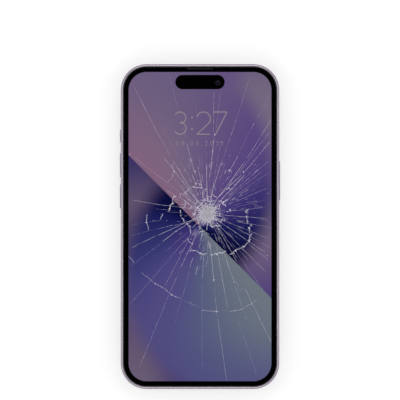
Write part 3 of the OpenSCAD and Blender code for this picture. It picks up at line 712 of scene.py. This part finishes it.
def border_print():
    """The black print round the display, on the pane's underside."""
    width = GLASS_W - 2 * INK_EDGE
    length = GLASS_L - 2 * INK_EDGE
    border = (width - DISPLAY_W) / 2
    bm = rounded_face(width, length, DISPLAY_R + border, (0, 0, INK_Z))
    middle = bm.faces[:]
    bmesh.ops.inset_individual(bm, faces=middle, thickness=border, use_even_offset=True)
    bmesh.ops.delete(bm, geom=middle, context="FACES_ONLY")
    make_piece("border_print", bm, ink)


def pill_print():
    """The black print over the front sensors."""
    bm = rounded_face(PILL_W, PILL_H, PILL_H / 2 - 0.01 * MM, (*PILL_AT, INK_Z))
    make_piece("pill_print", bm, ink)


def front_lens():
    """The small front lens: a dark dome in a fine ring, just under the pane."""
    bm = bmesh.new()
    turned(bm, FRONT_LENS, FRONT_LENS_AT, INK_Z + 0.01 * MM)
    make_piece("front_lens", bm, front_element, smooth=True)


def arc(cx, cy, radius, start, end, steps=14):
    """Points on an arc, in millimetres and degrees."""
    angles = [math.radians(start + (end - start) * i / steps) for i in range(steps + 1)]
    return [(cx + radius * math.cos(a), cy + radius * math.sin(a)) for a in angles]


# The figures' lines, and where each figure starts, in millimetres.
CLOCK_Y = 41.85
DATE_Y = 36.7
STROKES = {
    "2": [arc(3.1, 7.0, 3.1, 165, -38) + [(0.1, 0.0)], [(0.1, 0.0), (6.0, 0.0)]],
    "3": [arc(3.0, 7.55, 2.55, 150, -90), arc(3.0, 2.7, 2.7, 90, -150)],
    "7": [[(0.0, 10.1), (6.3, 10.1)], [(6.3, 10.1), (1.2, 0.0)]],
    ":": [arc(0.0, 2.3, 0.22, 0, 360, 8), arc(0.0, 7.6, 0.22, 0, 360, 8)],
}
CLOCK = [("3", -12.0), (":", -3.6), ("2", -1.5), ("7", 5.9)]


def clock_figures():
    """Thin plain figures of the time."""
    sheet = new_sheet()
    for figure, x in CLOCK:
        for stroke in STROKES[figure]:
            points = [Vector((x + px, CLOCK_Y + py)) * MM for px, py in stroke]
            lay_ribbon(sheet, points, 0.5 * MM, 1.0, FIGURE_Z, 0.0, (0, 0))
    make_piece("clock_figures", sheet[0], clock_light)


def date_figures():
    """A faint row of plain figures under the time."""
    text = bpy.data.curves.new("date_text", "FONT")
    text.body = "08.05.2031"
    text.size = 3.1 * MM
    text.align_x = "CENTER"
    text.space_character = 1.6
    letters = bpy.data.objects.new("date_text", text)
    scene.collection.objects.link(letters)
    graph = bpy.context.evaluated_depsgraph_get()
    mesh = bpy.data.meshes.new_from_object(letters.evaluated_get(graph))
    bpy.data.objects.remove(letters)
    bm = bmesh.new()
    bm.from_mesh(mesh)
    bmesh.ops.translate(bm, vec=(0, DATE_Y * MM, FIGURE_Z), verts=bm.verts[:])
    make_piece("date_figures", bm, date_light)


# ---- Cracks ----

# Each crack: width in mm, brightness, then its stops as (degrees, mm) about the impact.
LONG_CRACKS = (
    (0.3, 0.5, (6.5, 9), (6.5, 27)), (0.28, 0.45, (13.5, 13), (13.5, 27)),
    (0.3, 0.55, (23.5, 13), (23.5, 30)), (0.26, 0.35, (27.5, 10), (27.5, 31)),
    (0.26, 0.35, (31.5, 17), (31.5, 33)), (0.28, 0.45, (34, 15), (34, 34)),
    (0.28, 0.5, (38, 9), (38, 33)), (0.3, 0.55, (41, 15), (41, 37)),
    (0.26, 0.4, (44, 20), (44, 33)), (0.4, 0.9, (45.5, 6), (46, 8), (46.3, 23.5), (48.6, 25)),
    (0.34, 0.75, (48.6, 25), (49.2, 44)),
    (0.36, 0.8, (48.8, 24.5), (50, 20), (51.6, 15.2), (54.5, 12.4), (57.5, 8.5)),
    (0.4, 0.85, (58, 8), (55.8, 12), (54.8, 18), (54.6, 30)),
    (0.32, 0.7, (54.6, 30), (56, 50), (57, 60)), (0.28, 0.6, (52.8, 22), (53, 47)),
    (0.36, 0.75, (62.8, 20), (62.4, 30)), (0.26, 0.5, (62.4, 30), (63.2, 43)),
    (0.34, 0.75, (63, 43), (63, 46.5)), (0.26, 0.5, (62.8, 47), (62.2, 62)),
    (0.28, 0.5, (71, 16), (71, 25)), (0.38, 0.85, (80, 9), (76.5, 17), (74.5, 26)),
    (0.3, 0.6, (74.5, 26), (73.3, 40), (72.9, 67)), (0.28, 0.5, (79.5, 10), (79.5, 33)),
    (0.38, 0.8, (88, 15), (86, 22), (85.3, 30), (85, 35)), (0.32, 0.65, (85.8, 36), (87.2, 56)),
    (0.3, 0.5, (84.2, 38), (84, 56)), (0.24, 0.4, (96, 40), (96.8, 56)),
    (0.44, 0.9, (91.5, 8), (91.5, 23)), (0.26, 0.35, (91.5, 23), (91.5, 37)),
    (0.28, 0.5, (96.5, 20), (96.5, 27)), (0.28, 0.5, (99, 21), (99, 29)),
    (0.34, 0.65, (103, 9), (101.5, 22)), (0.4, 0.85, (108, 19), (106.5, 34)),
    (0.26, 0.45, (106, 34), (105.6, 67)), (0.3, 0.55, (112, 12), (112, 19)),
    (0.26, 0.38, (117.5, 20), (117.5, 46)), (0.36, 0.75, (125, 8), (124.5, 14), (123, 30)),
    (0.32, 0.65, (123, 30), (121.5, 48), (120, 69)), (0.34, 0.7, (128.5, 9), (128, 15), (128, 34)),
    (0.32, 0.6, (137.5, 10), (133.8, 23)), (0.3, 0.55, (141, 9), (142.5, 15), (142.5, 45)),
    (0.34, 0.65, (150.5, 9), (150.5, 22)),
    (0.34, 0.7, (160, 7), (168.5, 18), (169.5, 27), (169.7, 36)),
    (0.26, 0.45, (174.5, 16), (174.5, 24)), (0.26, 0.45, (177.5, 12), (177.5, 18)),
    (0.26, 0.4, (188, 20), (188, 36)), (0.3, 0.6, (202, 10), (200, 14), (197.5, 18), (196.8, 25)),
    (0.26, 0.45, (196.3, 25), (196, 37)),
    (0.36, 0.85, (201.5, 9), (202, 12), (202.6, 17), (203.4, 25)),
    (0.34, 0.65, (203, 25), (204, 38)), (0.36, 0.8, (205, 8), (206.6, 10.5), (209, 17), (212, 25)),
    (0.28, 0.5, (212, 25), (214.3, 43)), (0.28, 0.4, (222, 12), (222, 26)),
    (0.28, 0.5, (231, 8), (229.5, 20), (229.3, 60)),
    (0.32, 0.6, (234, 14), (236, 20), (238.5, 30), (239.3, 39)),
    (0.38, 0.75, (241, 10), (242.5, 17), (243.5, 28)),
    (0.3, 0.6, (243.5, 28), (244.3, 40), (246, 78)), (0.4, 0.8, (251.5, 21), (251.5, 26)),
    (0.28, 0.45, (252, 26), (253, 33), (253, 53)), (0.44, 0.85, (259, 24), (259, 28.5)),
    (0.34, 0.65, (264, 18), (265.5, 30)), (0.28, 0.5, (265.5, 30), (266.5, 43), (268, 73)),
    (0.32, 0.55, (270, 12), (270, 23)), (0.4, 0.8, (274, 12), (275, 18), (275.2, 32)),
    (0.32, 0.65, (275.2, 32), (275.3, 45), (276.5, 78)),
    (0.36, 0.7, (285, 14), (283, 25), (282, 45)), (0.28, 0.5, (285.5, 46), (287, 78)),
    (0.36, 0.7, (293, 18), (291, 33)), (0.3, 0.55, (291, 33), (290, 52)),
    (0.3, 0.6, (291.5, 30), (293.5, 38), (296.5, 37)), (0.32, 0.8, (296.5, 37), (296.3, 68)),
    (0.24, 0.7, (295, 8), (296, 12), (295.4, 18)), (0.24, 0.7, (300.5, 9), (298, 13), (297.6, 18)),
    (0.3, 0.85, (304, 8), (303.5, 13), (302, 20), (301, 26)),
    (0.26, 0.75, (307.5, 9), (306.6, 14), (306.8, 20)), (0.28, 0.6, (306.8, 20), (306, 44)),
    (0.28, 0.5, (311, 20), (311, 28)), (0.22, 0.5, (320.5, 12), (321, 15), (321.5, 19)),
    (0.3, 0.85, (315, 8), (315, 21)), (0.32, 0.6, (315, 21), (315, 38)),
    (0.3, 0.6, (323.6, 22), (323, 28), (322.6, 35)), (0.3, 0.75, (326, 8), (326, 32)),
    (0.24, 0.55, (333.6, 13), (333.2, 19), (331.8, 23), (331.5, 33)),
    (0.26, 0.6, (337.2, 8), (338, 18), (337.8, 31)), (0.26, 0.55, (344.5, 13), (348, 30)),
    (0.3, 0.75, (355.5, 7), (355.5, 28)),
)
RING_CRACKS = (
    (0.4, 0.8, (4, 10.4), (14, 10.2)), (0.46, 0.95, (45.8, 15.0), (50, 15.4), (53, 14.2)),
    (0.38, 0.8, (92, 11.1), (102, 11.0)),
    (0.46, 0.95, (103, 12.0), (110, 12.8), (116, 13.4), (120, 14.3)),
    (0.42, 0.9, (101, 12.8), (108, 14.4), (113, 15.0)),
    (0.34, 0.75, (120, 14.1), (130, 14.1), (139, 13.8), (142, 12.0)),
    (0.36, 0.8, (142, 15.5), (150, 14.4)), (0.38, 0.8, (152, 11.4), (160, 10.8), (170, 11.4)),
    (0.44, 0.9, (151, 16.9), (158, 17.3), (164, 16.2)),
    (0.52, 1, (163, 16.6), (168, 17.6), (173, 17.4), (178, 18.2)),
    (0.34, 0.8, (123.5, 27.5), (128, 27.4)), (0.36, 0.8, (128.5, 24.5), (133.5, 23.2), (142, 23)),
    (0.36, 0.8, (128.5, 24.5), (126.5, 26.2), (127.5, 28.0)),
    (0.4, 0.9, (0, 17.2), (3, 17.6), (6, 17.2)), (0.36, 0.85, (0, 18.5), (3, 17.4), (6, 18.6)),
    (0.42, 0.85, (180, 12.2), (187, 12.3)), (0.46, 0.95, (187, 12.0), (192, 11.2), (200, 11.3)),
    (0.5, 1, (200, 11.0), (210, 10.3), (221, 10.2)),
    (0.46, 0.95, (220, 10.3), (226, 11.2), (231, 11.4)),
    (0.44, 0.9, (230, 14.3), (238, 15.2), (245, 15.4)),
    (0.42, 0.9, (242, 18.6), (247, 18.2), (254, 17.4)),
    (0.5, 1, (252, 17.6), (262, 18.4), (270, 18.0)),
    (0.52, 1, (272, 18.9), (280, 18.5), (290, 19.0), (297, 18.7)),
    (0.44, 0.95, (297, 20.8), (302, 21.3), (306.6, 20.6)), (0.36, 0.85, (338, 9.1), (347, 9.2)),
    (0.46, 0.95, (307, 20.4), (310, 21.2), (314, 21.6), (317, 21.8)),
    (0.44, 0.95, (316, 22.1), (326, 22.4), (333, 21.6), (337, 22.0)),
    (0.46, 0.95, (337, 20.6), (342, 19.6), (348, 20.4)),
    (0.44, 0.9, (345, 18.6), (352, 18.2), (359, 17.8)),
    (0.36, 0.8, (179, 20.2), (184, 21.2), (188, 21.4)),
    (0.5, 1, (180, 27.6), (188, 28.0), (192, 27.6), (196, 28.0)),
    (0.36, 0.8, (203, 40.2), (208, 40.6), (214, 40.0)),
    (0.38, 0.85, (221, 40.4), (226, 39.6), (233, 39.6)),
    (0.4, 0.9, (233, 39.6), (240, 39.0), (246, 40.0), (253, 40.2)),
    (0.26, 0.55, (253, 40.3), (260, 41.6), (266, 42.7)),
    (0.4, 0.9, (266, 43.6), (272, 44.2), (277, 44.6)), (0.26, 0.5, (277, 44.5), (282, 45.0)),
    (0.38, 0.85, (282, 45.2), (289, 45.9), (296, 45.2)), (0.36, 0.8, (296, 45.2), (300, 45.0)),
)
# Bars and short spokes of the web round the crushed spot, in the same form.
WEB_CRACKS = (
    (0.5, 1, (54, 7.1), (42.5, 8.5), (34, 8.2), (25, 8.8)),
    (0.42, 1, (40, 7.4), (30, 6.0), (12, 6.2)), (0.46, 1, (38, 5.4), (30.5, 5.0), (18, 5.6)),
    (0.5, 1, (90, 7.7), (88, 5.6), (69, 6.2), (59, 7.3)), (0.38, 0.9, (76.5, 7.4), (70, 6.3)),
    (0.38, 0.9, (97, 8.2), (90, 7.8), (80, 8.0)),
    (0.5, 1, (151, 5.7), (138, 5.2), (124, 5.3), (112, 5.7)),
    (0.7, 1, (186, 5.6), (180, 6.1), (173, 5.6)), (0.44, 1, (205, 5.4), (213, 5.2), (224, 5.6)),
    (0.4, 0.9, (231, 7.1), (240, 7.0), (247, 7.3)),
    (0.36, 0.8, (244, 9.4), (250, 8.6), (256, 8.0), (262, 7.8)),
    (0.26, 0.55, (262, 8.4), (269, 8.8), (277, 9.4)),
    (0.5, 1, (278, 4.8), (286.5, 6.1), (295, 6.4), (304.5, 6.2), (310, 7.3), (320.5, 8.4)),
    (0.36, 0.9, (312, 5.6), (318, 7.6)), (0.42, 0.95, (334, 7.2), (341, 7.5)),
    (0.4, 0.95, (348, 5.4), (357, 5.6), (6, 5.3)), (0.3, 0.7, (35.5, 8.4), (35.5, 12.5)),
    (0.3, 0.7, (77.5, 6.8), (77, 11)), (0.26, 0.6, (101, 8.5), (99, 12)),
    (0.28, 0.6, (108, 6.5), (104, 10.5)), (0.38, 0.8, (129.5, 6.8), (128, 11.5)),
    (0.36, 0.8, (129, 7), (136, 7.2), (145, 7.2)),
    (0.3, 0.65, (140.5, 12.4), (143, 9.2), (145.5, 6)),
    (0.32, 0.75, (149.5, 12.6), (152, 10.6), (155.5, 8.4)),
    (0.32, 0.8, (154.5, 11.8), (156.5, 11), (165, 11)), (0.26, 0.5, (156, 8.4), (158, 5)),
    (0.42, 0.85, (172, 12.8), (174, 12.4), (181, 12.2)), (0.28, 0.6, (220.5, 5), (222, 9.8)),
    (0.3, 0.6, (253, 8.2), (255, 12.8)), (0.24, 0.45, (261, 8.4), (260, 13)),
    (0.32, 0.65, (267.5, 4.4), (267, 7.8)), (0.34, 0.8, (271, 12.2), (272.5, 14), (272.5, 15.8)),
    (0.4, 0.8, (281, 9.6), (284, 9.4)), (0.26, 0.6, (288.5, 9), (289, 13.5)),
    (0.38, 0.85, (303, 9.6), (305.5, 8.4), (312, 8.7)),
)
# Bright points where cracks meet or the pane has flaked: (degrees, mm, size in mm).
GLINTS = (
    (63.5, 22, 0.9), (79.5, 33, 0.6), (142.5, 44.5, 0.5), (85, 36, 0.8), (49.5, 25, 0.8),
    (36, 8.9, 0.9), (10, 10.2, 0.9), (6, 9.0, 0.6), (172, 17.4, 0.8), (164, 16.6, 0.9),
    (152, 16.8, 0.8), (209, 16.5, 0.6), (188, 28.0, 0.8), (259, 18.2, 0.9), (283, 18.8, 0.9),
    (307, 21.0, 0.9), (327, 22.4, 1.0), (341, 19.8, 1.0), (355.5, 17.8, 0.7), (3, 17.5, 0.8),
    (318, 22.2, 0.8), (246, 40.2, 0.7), (233, 39.6, 0.7), (275, 44.5, 0.7), (259.5, 41.0, 0.4),
    (296, 45.3, 0.6), (275.2, 30.0, 0.8), (128.5, 24.5, 0.8), (106.5, 20, 0.6), (117, 13.6, 0.7),
    (47, 18, 0.5), (325, 33, 0.4), (291, 33, 0.5), (104, 12.2, 0.8), (112, 14.6, 0.7),
)
SHEET_TOP = FACE_Z - 0.02 * MM
SHEET_MID = FACE_Z - 0.16 * MM
TOP_TILT = 0.02 * MM
POWDER_R = 9 * MM
# Ring cracks that start nearer than this, in mm, are ragged and split.
NEAR_MM = 24


def heading(degrees):
    angle = math.radians(degrees)
    return Vector((math.cos(angle), math.sin(angle)))


def around_impact(degrees, mm):
    """A point of the pane, from its direction and distance from the impact."""
    return IMPACT + heading(degrees) * (mm * MM)


def over_display(point):
    """Whether a point lies over the display, whose corners are round."""
    dx = max(abs(point.x) - (DISPLAY_W / 2 - DISPLAY_R), 0)
    dy = max(abs(point.y) - (DISPLAY_L / 2 - DISPLAY_R), 0)
    return math.hypot(dx, dy) < DISPLAY_R


def new_sheet():
    """A mesh for ribbons, and the two values that its points carry for the shader."""
    bm = bmesh.new()
    values = bm.verts.layers.float
    return bm, values.new("across"), values.new("strength")


def crack_piece(name, sheet, material=crack_white):
    make_piece(name, sheet[0], material)


def lay_ribbon(sheet, points, width, strength, z, tilt, fades):
    """A strip along points, of one width and strength or of one for each point.

    Tilt is how much higher its left edge is. Fades are the shares of its length over which it
    thins out at its start and at its end.
    """
    bm, across, shine = sheet
    count = len(points) - 1
    made = bmesh.ops.create_grid(bm, x_segments=count, y_segments=2, size=0.5)
    strengths = strength if isinstance(strength, list) else [strength] * (count + 1)
    widths = width if isinstance(width, list) else [width] * (count + 1)
    for vert in made["verts"]:
        i = round((vert.co.x + 0.5) * count)
        side = vert.co.y * 2
        ahead = points[min(i + 1, count)] - points[max(i - 1, 0)]
        left = Vector((-ahead.y, ahead.x)).normalized()
        share = i / count
        start = share / fades[0] if fades[0] else 1.0
        end = (1 - share) / fades[1] if fades[1] else 1.0
        full = min(1.0, start, end)
        spot = points[i] + left * (side * widths[i] / 2 * (0.25 + 0.75 * full))
        vert.co = (spot.x, spot.y, z + tilt * side / 2)
        vert[across] = side
        vert[shine] = strengths[i] * (0.35 + 0.65 * full)


def crack_points(stops, rng, wander, step=0.7):
    """A crack's route: its stops joined by short steps that wander a little to each side."""
    corners = [around_impact(*stop) for stop in stops]
    points = [corners[0]]
    drift = 0.0
    for start, end in zip(corners, corners[1:]):
        run = end - start
        count = max(2, round(run.length / (step * MM)))
        left = Vector((-run.y, run.x)).normalized()
        for i in range(1, count + 1):
            drift = 0.6 * drift + rng.uniform(-1, 1) * wander * MM
            loose = 0.0 if i == count else drift
            points.append(start + run * (i / count) + left * loose)
    return [p for p in points if over_display(p)]


def uneven(points, rng, strength, depth, far):
    """Brightness along a crack: it comes and goes, and falls to a share of itself far out."""
    values = []
    level = rng.uniform(0.5, 1.0)
    for point in points:
        level = 0.55 * level + 0.45 * rng.random()
        flicker = 1 - depth + depth * min(1.0, 1.7 * level)
        distance = (point - IMPACT).length / MM
        fall = min(1.0, max(0.0, (distance - 16) / 24))
        values.append(1.8 * strength * flicker * (1 + (far - 1) * fall))
    return values


def lay_cracks(sheet, cracks, rng, *, wander, depth, far, spread, ragged):
    """Lays a list of cracks.

    They stray to the side by up to wander in mm, flicker by depth, and fall to the share far at
    their far ends. Spread widens or narrows them all, and ragged makes their widths uneven.
    """
    for width, strength, *stops in cracks:
        points = crack_points(stops, rng, wander)
        if len(points) < 3:
            continue
        tilt = rng.choice((-1, 1)) * 0.2 * MM
        strengths = uneven(points, rng, strength, depth, far)
        widths = [width * spread * MM * (1 + ragged * rng.uniform(-0.6, 0.8)) for _ in points]
        ends = (around_impact(*stops[0]), around_impact(*stops[-1]))
        fades = [0.08 if over_display(end) else 0.0 for end in ends]
        lay_ribbon(sheet, points, widths, strengths, SHEET_MID, tilt, fades)


def long_cracks():
    """Cracks that run out from the impact. Those that start near it begin at the crushed spot."""
    rng = random.Random(4)
    sheet = new_sheet()
    rooted = []
    for width, strength, first, *rest in LONG_CRACKS:
        root = [(first[0] + rng.uniform(-2, 2), 4.0)] if first[1] <= 10 else []
        rooted.append((width, strength, *root, first, *rest))
    lay_cracks(sheet, rooted, rng, wander=0.05, depth=0.55, far=0.85, spread=0.48, ragged=0.4)
    crack_piece("long_cracks", sheet)


def ring_cracks():
    """Cracks that cross from one long crack to the next, with short splits off their sides."""
    rng = random.Random(9)
    sheet = new_sheet()
    near = [crack for crack in RING_CRACKS if crack[2][1] < NEAR_MM]
    outer = [crack for crack in RING_CRACKS if crack[2][1] >= NEAR_MM]
    lay_cracks(sheet, near, rng, wander=0.22, depth=0.45, far=1.0, spread=0.55, ragged=0.85)
    lay_cracks(sheet, outer, rng, wander=0.12, depth=0.55, far=0.8, spread=0.5, ragged=0.6)
    splits = []
    for width, strength, *stops in near:
        for (angle, radius), (end_angle, end_radius) in zip(stops, stops[1:]):
            share = rng.random()
            at = angle + (end_angle - angle) * share
            middle = radius + (end_radius - radius) * share
            low = middle - rng.uniform(0.2, 0.9)
            lean = rng.uniform(-2.5, 2.5)
            splits.append((0.3, strength, (at, low), (at + lean, middle + rng.uniform(0.3, 1.1))))
    lay_cracks(sheet, splits, rng, wander=0.05, depth=0.3, far=1.0, spread=0.8, ragged=0.6)
    crack_piece("ring_cracks", sheet)


# Fans of hairline cracks: from degrees, to degrees, nearest mm, farthest mm, how many, longest mm.
FANS = (
    (0, 46, 9, 28, 48, 4.5), (46, 80, 10, 30, 30, 4.0), (80, 124, 9, 27, 56, 5.0),
    (124, 180, 9, 19, 20, 3.4), (180, 232, 9, 24, 12, 3.4), (232, 280, 8, 24, 28, 4.5),
    (280, 326, 11, 22, 10, 5.5), (326, 360, 10, 27, 18, 5.5),
)


def hairlines():
    """Short broken cracks between the long ones, densest on the right and below."""
    rng = random.Random(21)
    sheet = new_sheet()
    for low, high, near, far, count, longest in FANS:
        for _ in range(count):
            angle = rng.uniform(low, high)
            start = near + (far - near) * rng.random() ** 1.3
            length = rng.uniform(0.8, longest)
            bend = rng.uniform(-2.0, 2.0) / max(start, 6)
            stops = [(angle, start), (angle + bend, start + length)]
            points = crack_points(stops, rng, 0.03, 0.5)
            if len(points) < 3:
                continue
            width = rng.uniform(0.06, 0.17) * MM
            strength = rng.uniform(0.35, 1.35) * (1.15 - 0.5 * (start - near) / (far - near))
            strengths = uneven(points, rng, strength, 0.4, 1.0)
            lay_ribbon(sheet, points, width, strengths, SHEET_MID, 0.15 * MM, (0.3, 0.3))
    crack_piece("hairline_cracks", sheet)


SPIKES = 42

# More bars, placed at random: from degrees, to degrees, how many.
WEB_BARS = ((5, 60, 3), (60, 110, 2), (110, 170, 2), (170, 230, 2), (320, 350, 2))


def crush_web():
    """The web of splinters round the crushed spot: spikes, and short bars from one to the next."""
    rng = random.Random(33)
    sheet = new_sheet()
    for i in range(SPIKES):
        angle = i * 360 / SPIKES + rng.uniform(-3.6, 3.6)
        root = rng.uniform(1.4, 3.2)
        reach = 4.4 + 4.4 * rng.random() ** 1.7
        points = crack_points([(angle, root), (angle + rng.uniform(-3, 3), reach)], rng, 0.04, 0.4)
        base = rng.uniform(0.28, 0.6) * MM
        widths = [base * (1 - 0.75 * k / len(points)) for k in range(len(points))]
        strengths = [1.7 - 0.8 * k / len(points) for k in range(len(points))]
        lay_ribbon(sheet, points, widths, strengths, SHEET_TOP, TOP_TILT, (0.35, 0.2))
    for low, high, count in WEB_BARS:
        for _ in range(count):
            radius = 5.0 + 4.0 * rng.random() ** 1.2
            stops = [(rng.uniform(low, high), radius)]
            side = rng.choice((-1, 1))
            for _ in range(rng.choice((1, 2, 2, 3))):
                side = -side
                sweep = rng.uniform(45, 95) / radius
                stops.append((stops[-1][0] + sweep, radius + side * rng.uniform(0.1, 0.55)))
            points = crack_points(stops, rng, 0.0, 0.3)
            if len(points) < 3:
                continue
            widths = [rng.uniform(0.2, 0.4) * MM for _ in points]
            shine = rng.uniform(1.2, 1.9)
            lay_ribbon(sheet, points, widths, shine, SHEET_TOP, TOP_TILT, (0.15, 0.15))
    lay_cracks(sheet, WEB_CRACKS, rng, wander=0.05, depth=0.25, far=1.0, spread=0.85, ragged=0.6)
    crack_piece("crush_web", sheet)


def glint_flakes():
    """Small flaked facets where cracks meet."""
    rng = random.Random(5)
    sheet = new_sheet()
    for angle, radius, size in GLINTS:
        centre = around_impact(angle, radius)
        along = heading(angle + rng.uniform(-35, 35)) * (size * 0.65 * MM)
        points = [centre + along * share for share in (-1, -0.5, 0, 0.5, 1)]
        lay_ribbon(sheet, points, size * 0.9 * MM, 1.8, SHEET_TOP, TOP_TILT, (0.5, 0.5))
    crack_piece("glint_flakes", sheet)


def powder_cap():
    """The crushed spot: a thin sheet of powdered glass. Its strength falls off from the middle."""
    rng = random.Random(12)
    sheet = new_sheet()
    bm, across, shine = sheet
    bmesh.ops.create_grid(bm, x_segments=60, y_segments=60, size=1)
    for vert in bm.verts:
        flat = Vector(vert.co[:2])
        share = max(abs(flat.x), abs(flat.y))
        flat = flat.normalized() * share if share else flat
        spot = IMPACT + flat * POWDER_R
        vert.co = (spot.x, spot.y, FACE_Z - 0.06 * MM - rng.uniform(0, 0.03) * MM)
        vert[across] = 0.0
        vert[shine] = min(1.0, 1.35 * (1 - share))
    crack_piece("powder_cap", sheet, powder_film)


# ---- Rear cameras ----

# Half sections from the outside in: (radius, height over the table) in millimetres.
BARREL = (
    (4.9, 0.95), (4.6, 0.95), (4.4, 1.45), (3.9, 1.45), (3.8, 1.15), (3.5, 1.15), (3.4, 1.4),
    (3.1, 1.4), (3.0, 1.65), (2.3, 1.75), (2.3, 2.05), (0, 2.05),
)
DOME = ((2.25, 1.73), (1.9, 1.55), (1.3, 1.4), (0.6, 1.33), (0, 1.31))


def camera_centres():
    """The three rear lenses' centres, from the rings' own box."""
    right = rings_high.x - RING_R
    left = rings_low.x + RING_R
    middle = (rings_high.y + rings_low.y) / 2
    half = (rings_high.y - rings_low.y) / 2 - RING_R
    return [(right, middle - half), (right, middle + half), (left, middle)]


def lens_stacks():
    """Stepped barrels and domed front elements behind the lens covers."""
    barrel = bmesh.new()
    glass = bmesh.new()
    for at in camera_centres():
        turned(barrel, BARREL, at)
        turned(glass, DOME, at)
    make_piece("lens_barrels", barrel, barrel_plastic)
    make_piece("lens_domes", glass, violet_element, smooth=True)


# ---- Studio ----

LENS_MM = 300.0
VIEW_W = 181.2 * MM
AIM_Y = 12.05 * MM
LAMP_REACH = 1.4
FLOOR_W = 12
CARD_W = 0.6
CARD_L = 0.8
CARD_Z = 1.75


def studio_camera():
    """Straight above the display, from far enough for flat lines."""
    data = bpy.data.cameras.new("camera")
    data.lens = LENS_MM
    distance = VIEW_W * LENS_MM / data.sensor_width
    data.clip_start = 0.01
    data.clip_end = 20
    camera = bpy.data.objects.new("camera", data)
    camera.location = (0, AIM_Y, FACE_Z + distance)
    scene.collection.objects.link(camera)
    scene.camera = camera


def stage_piece(name, width, length, at, material):
    new_object(name, flat_face(width, length, at), material)


def white_floor():
    """Pale floor that shows as white under a faint shadow. From below it's clear, to lamps too."""
    material, start = new_material("white_floor")
    seen = ray(start, "Camera")
    inputs = {
        "Base Color": (0.6, 0.6, 0.6, 1),
        "Roughness": 0.9,
        "Specular IOR Level": 0.0,
        "Emission Color": seen.mix((0, 0, 0, 1), (0.55, 0.55, 0.55, 1)),
        "Emission Strength": 1.0,
    }
    lit = start.add("BsdfPrincipled", inputs)
    clear = start.add("BsdfTransparent")
    under = start.add("NewGeometry", output="Backfacing")
    shadow = ray(start, "Shadow")
    finish_surface(start, (under + shadow).clamped().blend(lit, clear))
    stage_piece("floor", FLOOR_W, FLOOR_W, (0, 0, -0.2 * MM), material)


def dark_card():
    """A small black card over the camera, unseen itself, so that the pane mirrors no light."""
    material, start = new_material("dark_card")
    inputs = {"Base Color": (0, 0, 0, 1), "Roughness": 1.0, "Specular IOR Level": 0.0}
    black = start.add("BsdfPrincipled", inputs)
    clear = start.add("BsdfTransparent")
    seen = ray(start, "Camera")
    finish_surface(start, seen.blend(black, clear))
    stage_piece("dark_card", CARD_W, CARD_L, (0, AIM_Y, CARD_Z), material)


# Each lamp: name, degrees round the phone, degrees up, width in metres, watts.
LAMPS = (
    ("left", -90, 45, 1.1, 3.0), ("right", 90, 45, 1.1, 3.0), ("near", 0, 45, 1.1, 3.0),
    ("far", 180, 45, 1.1, 3.2), ("under_near", 45, -60, 0.8, 5.0),
    ("under_far", 225, -60, 0.8, 5.0),
)


def studio_light():
    """Soft round lamps that point at the phone, in a white room."""
    for name, azimuth, elevation, size, power in LAMPS:
        name = f"softbox_{name}"
        light = bpy.data.lights.new(name, "AREA")
        light.shape = "DISK"
        light.size = size
        light.energy = power
        lamp = bpy.data.objects.new(name, light)
        a = math.radians(azimuth)
        e = math.radians(elevation)
        away = Vector((math.sin(a) * math.cos(e), -math.cos(a) * math.cos(e), math.sin(e)))
        lamp.location = away * LAMP_REACH
        lamp.rotation_mode = "QUATERNION"
        lamp.rotation_quaternion = away.to_track_quat("Z", "Y")
        scene.collection.objects.link(lamp)
    world = bpy.data.worlds.new("studio")
    scene.world = world
    world.use_nodes = True
    world.node_tree.nodes.clear()
    start = Socket(world.node_tree)
    seen = (ray(start, "Camera") + ray(start, "Glossy") + ray(start, "Transmission")).clamped()
    sky = start.add("Background", {"Color": (1, 1, 1, 1), "Strength": 0.45 + seen * 0.55})
    start.add("OutputWorld", {"Surface": sky})


# ---- Assembly ----

for material, names in FINISH_OF.items():
    for name in names:
        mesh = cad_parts[name].data
        mesh.materials.clear()
        mesh.materials.append(material)

studio_camera()
picture_sheet()
border_print()
pill_print()
front_lens()
clock_figures()
date_figures()
long_cracks()
ring_cracks()
hairlines()
crush_web()
glint_flakes()
powder_cap()
lens_stacks()
white_floor()
dark_card()
studio_light()

scene.view_settings.view_transform = "Standard"
scene.cycles.transparent_max_bounces = 32
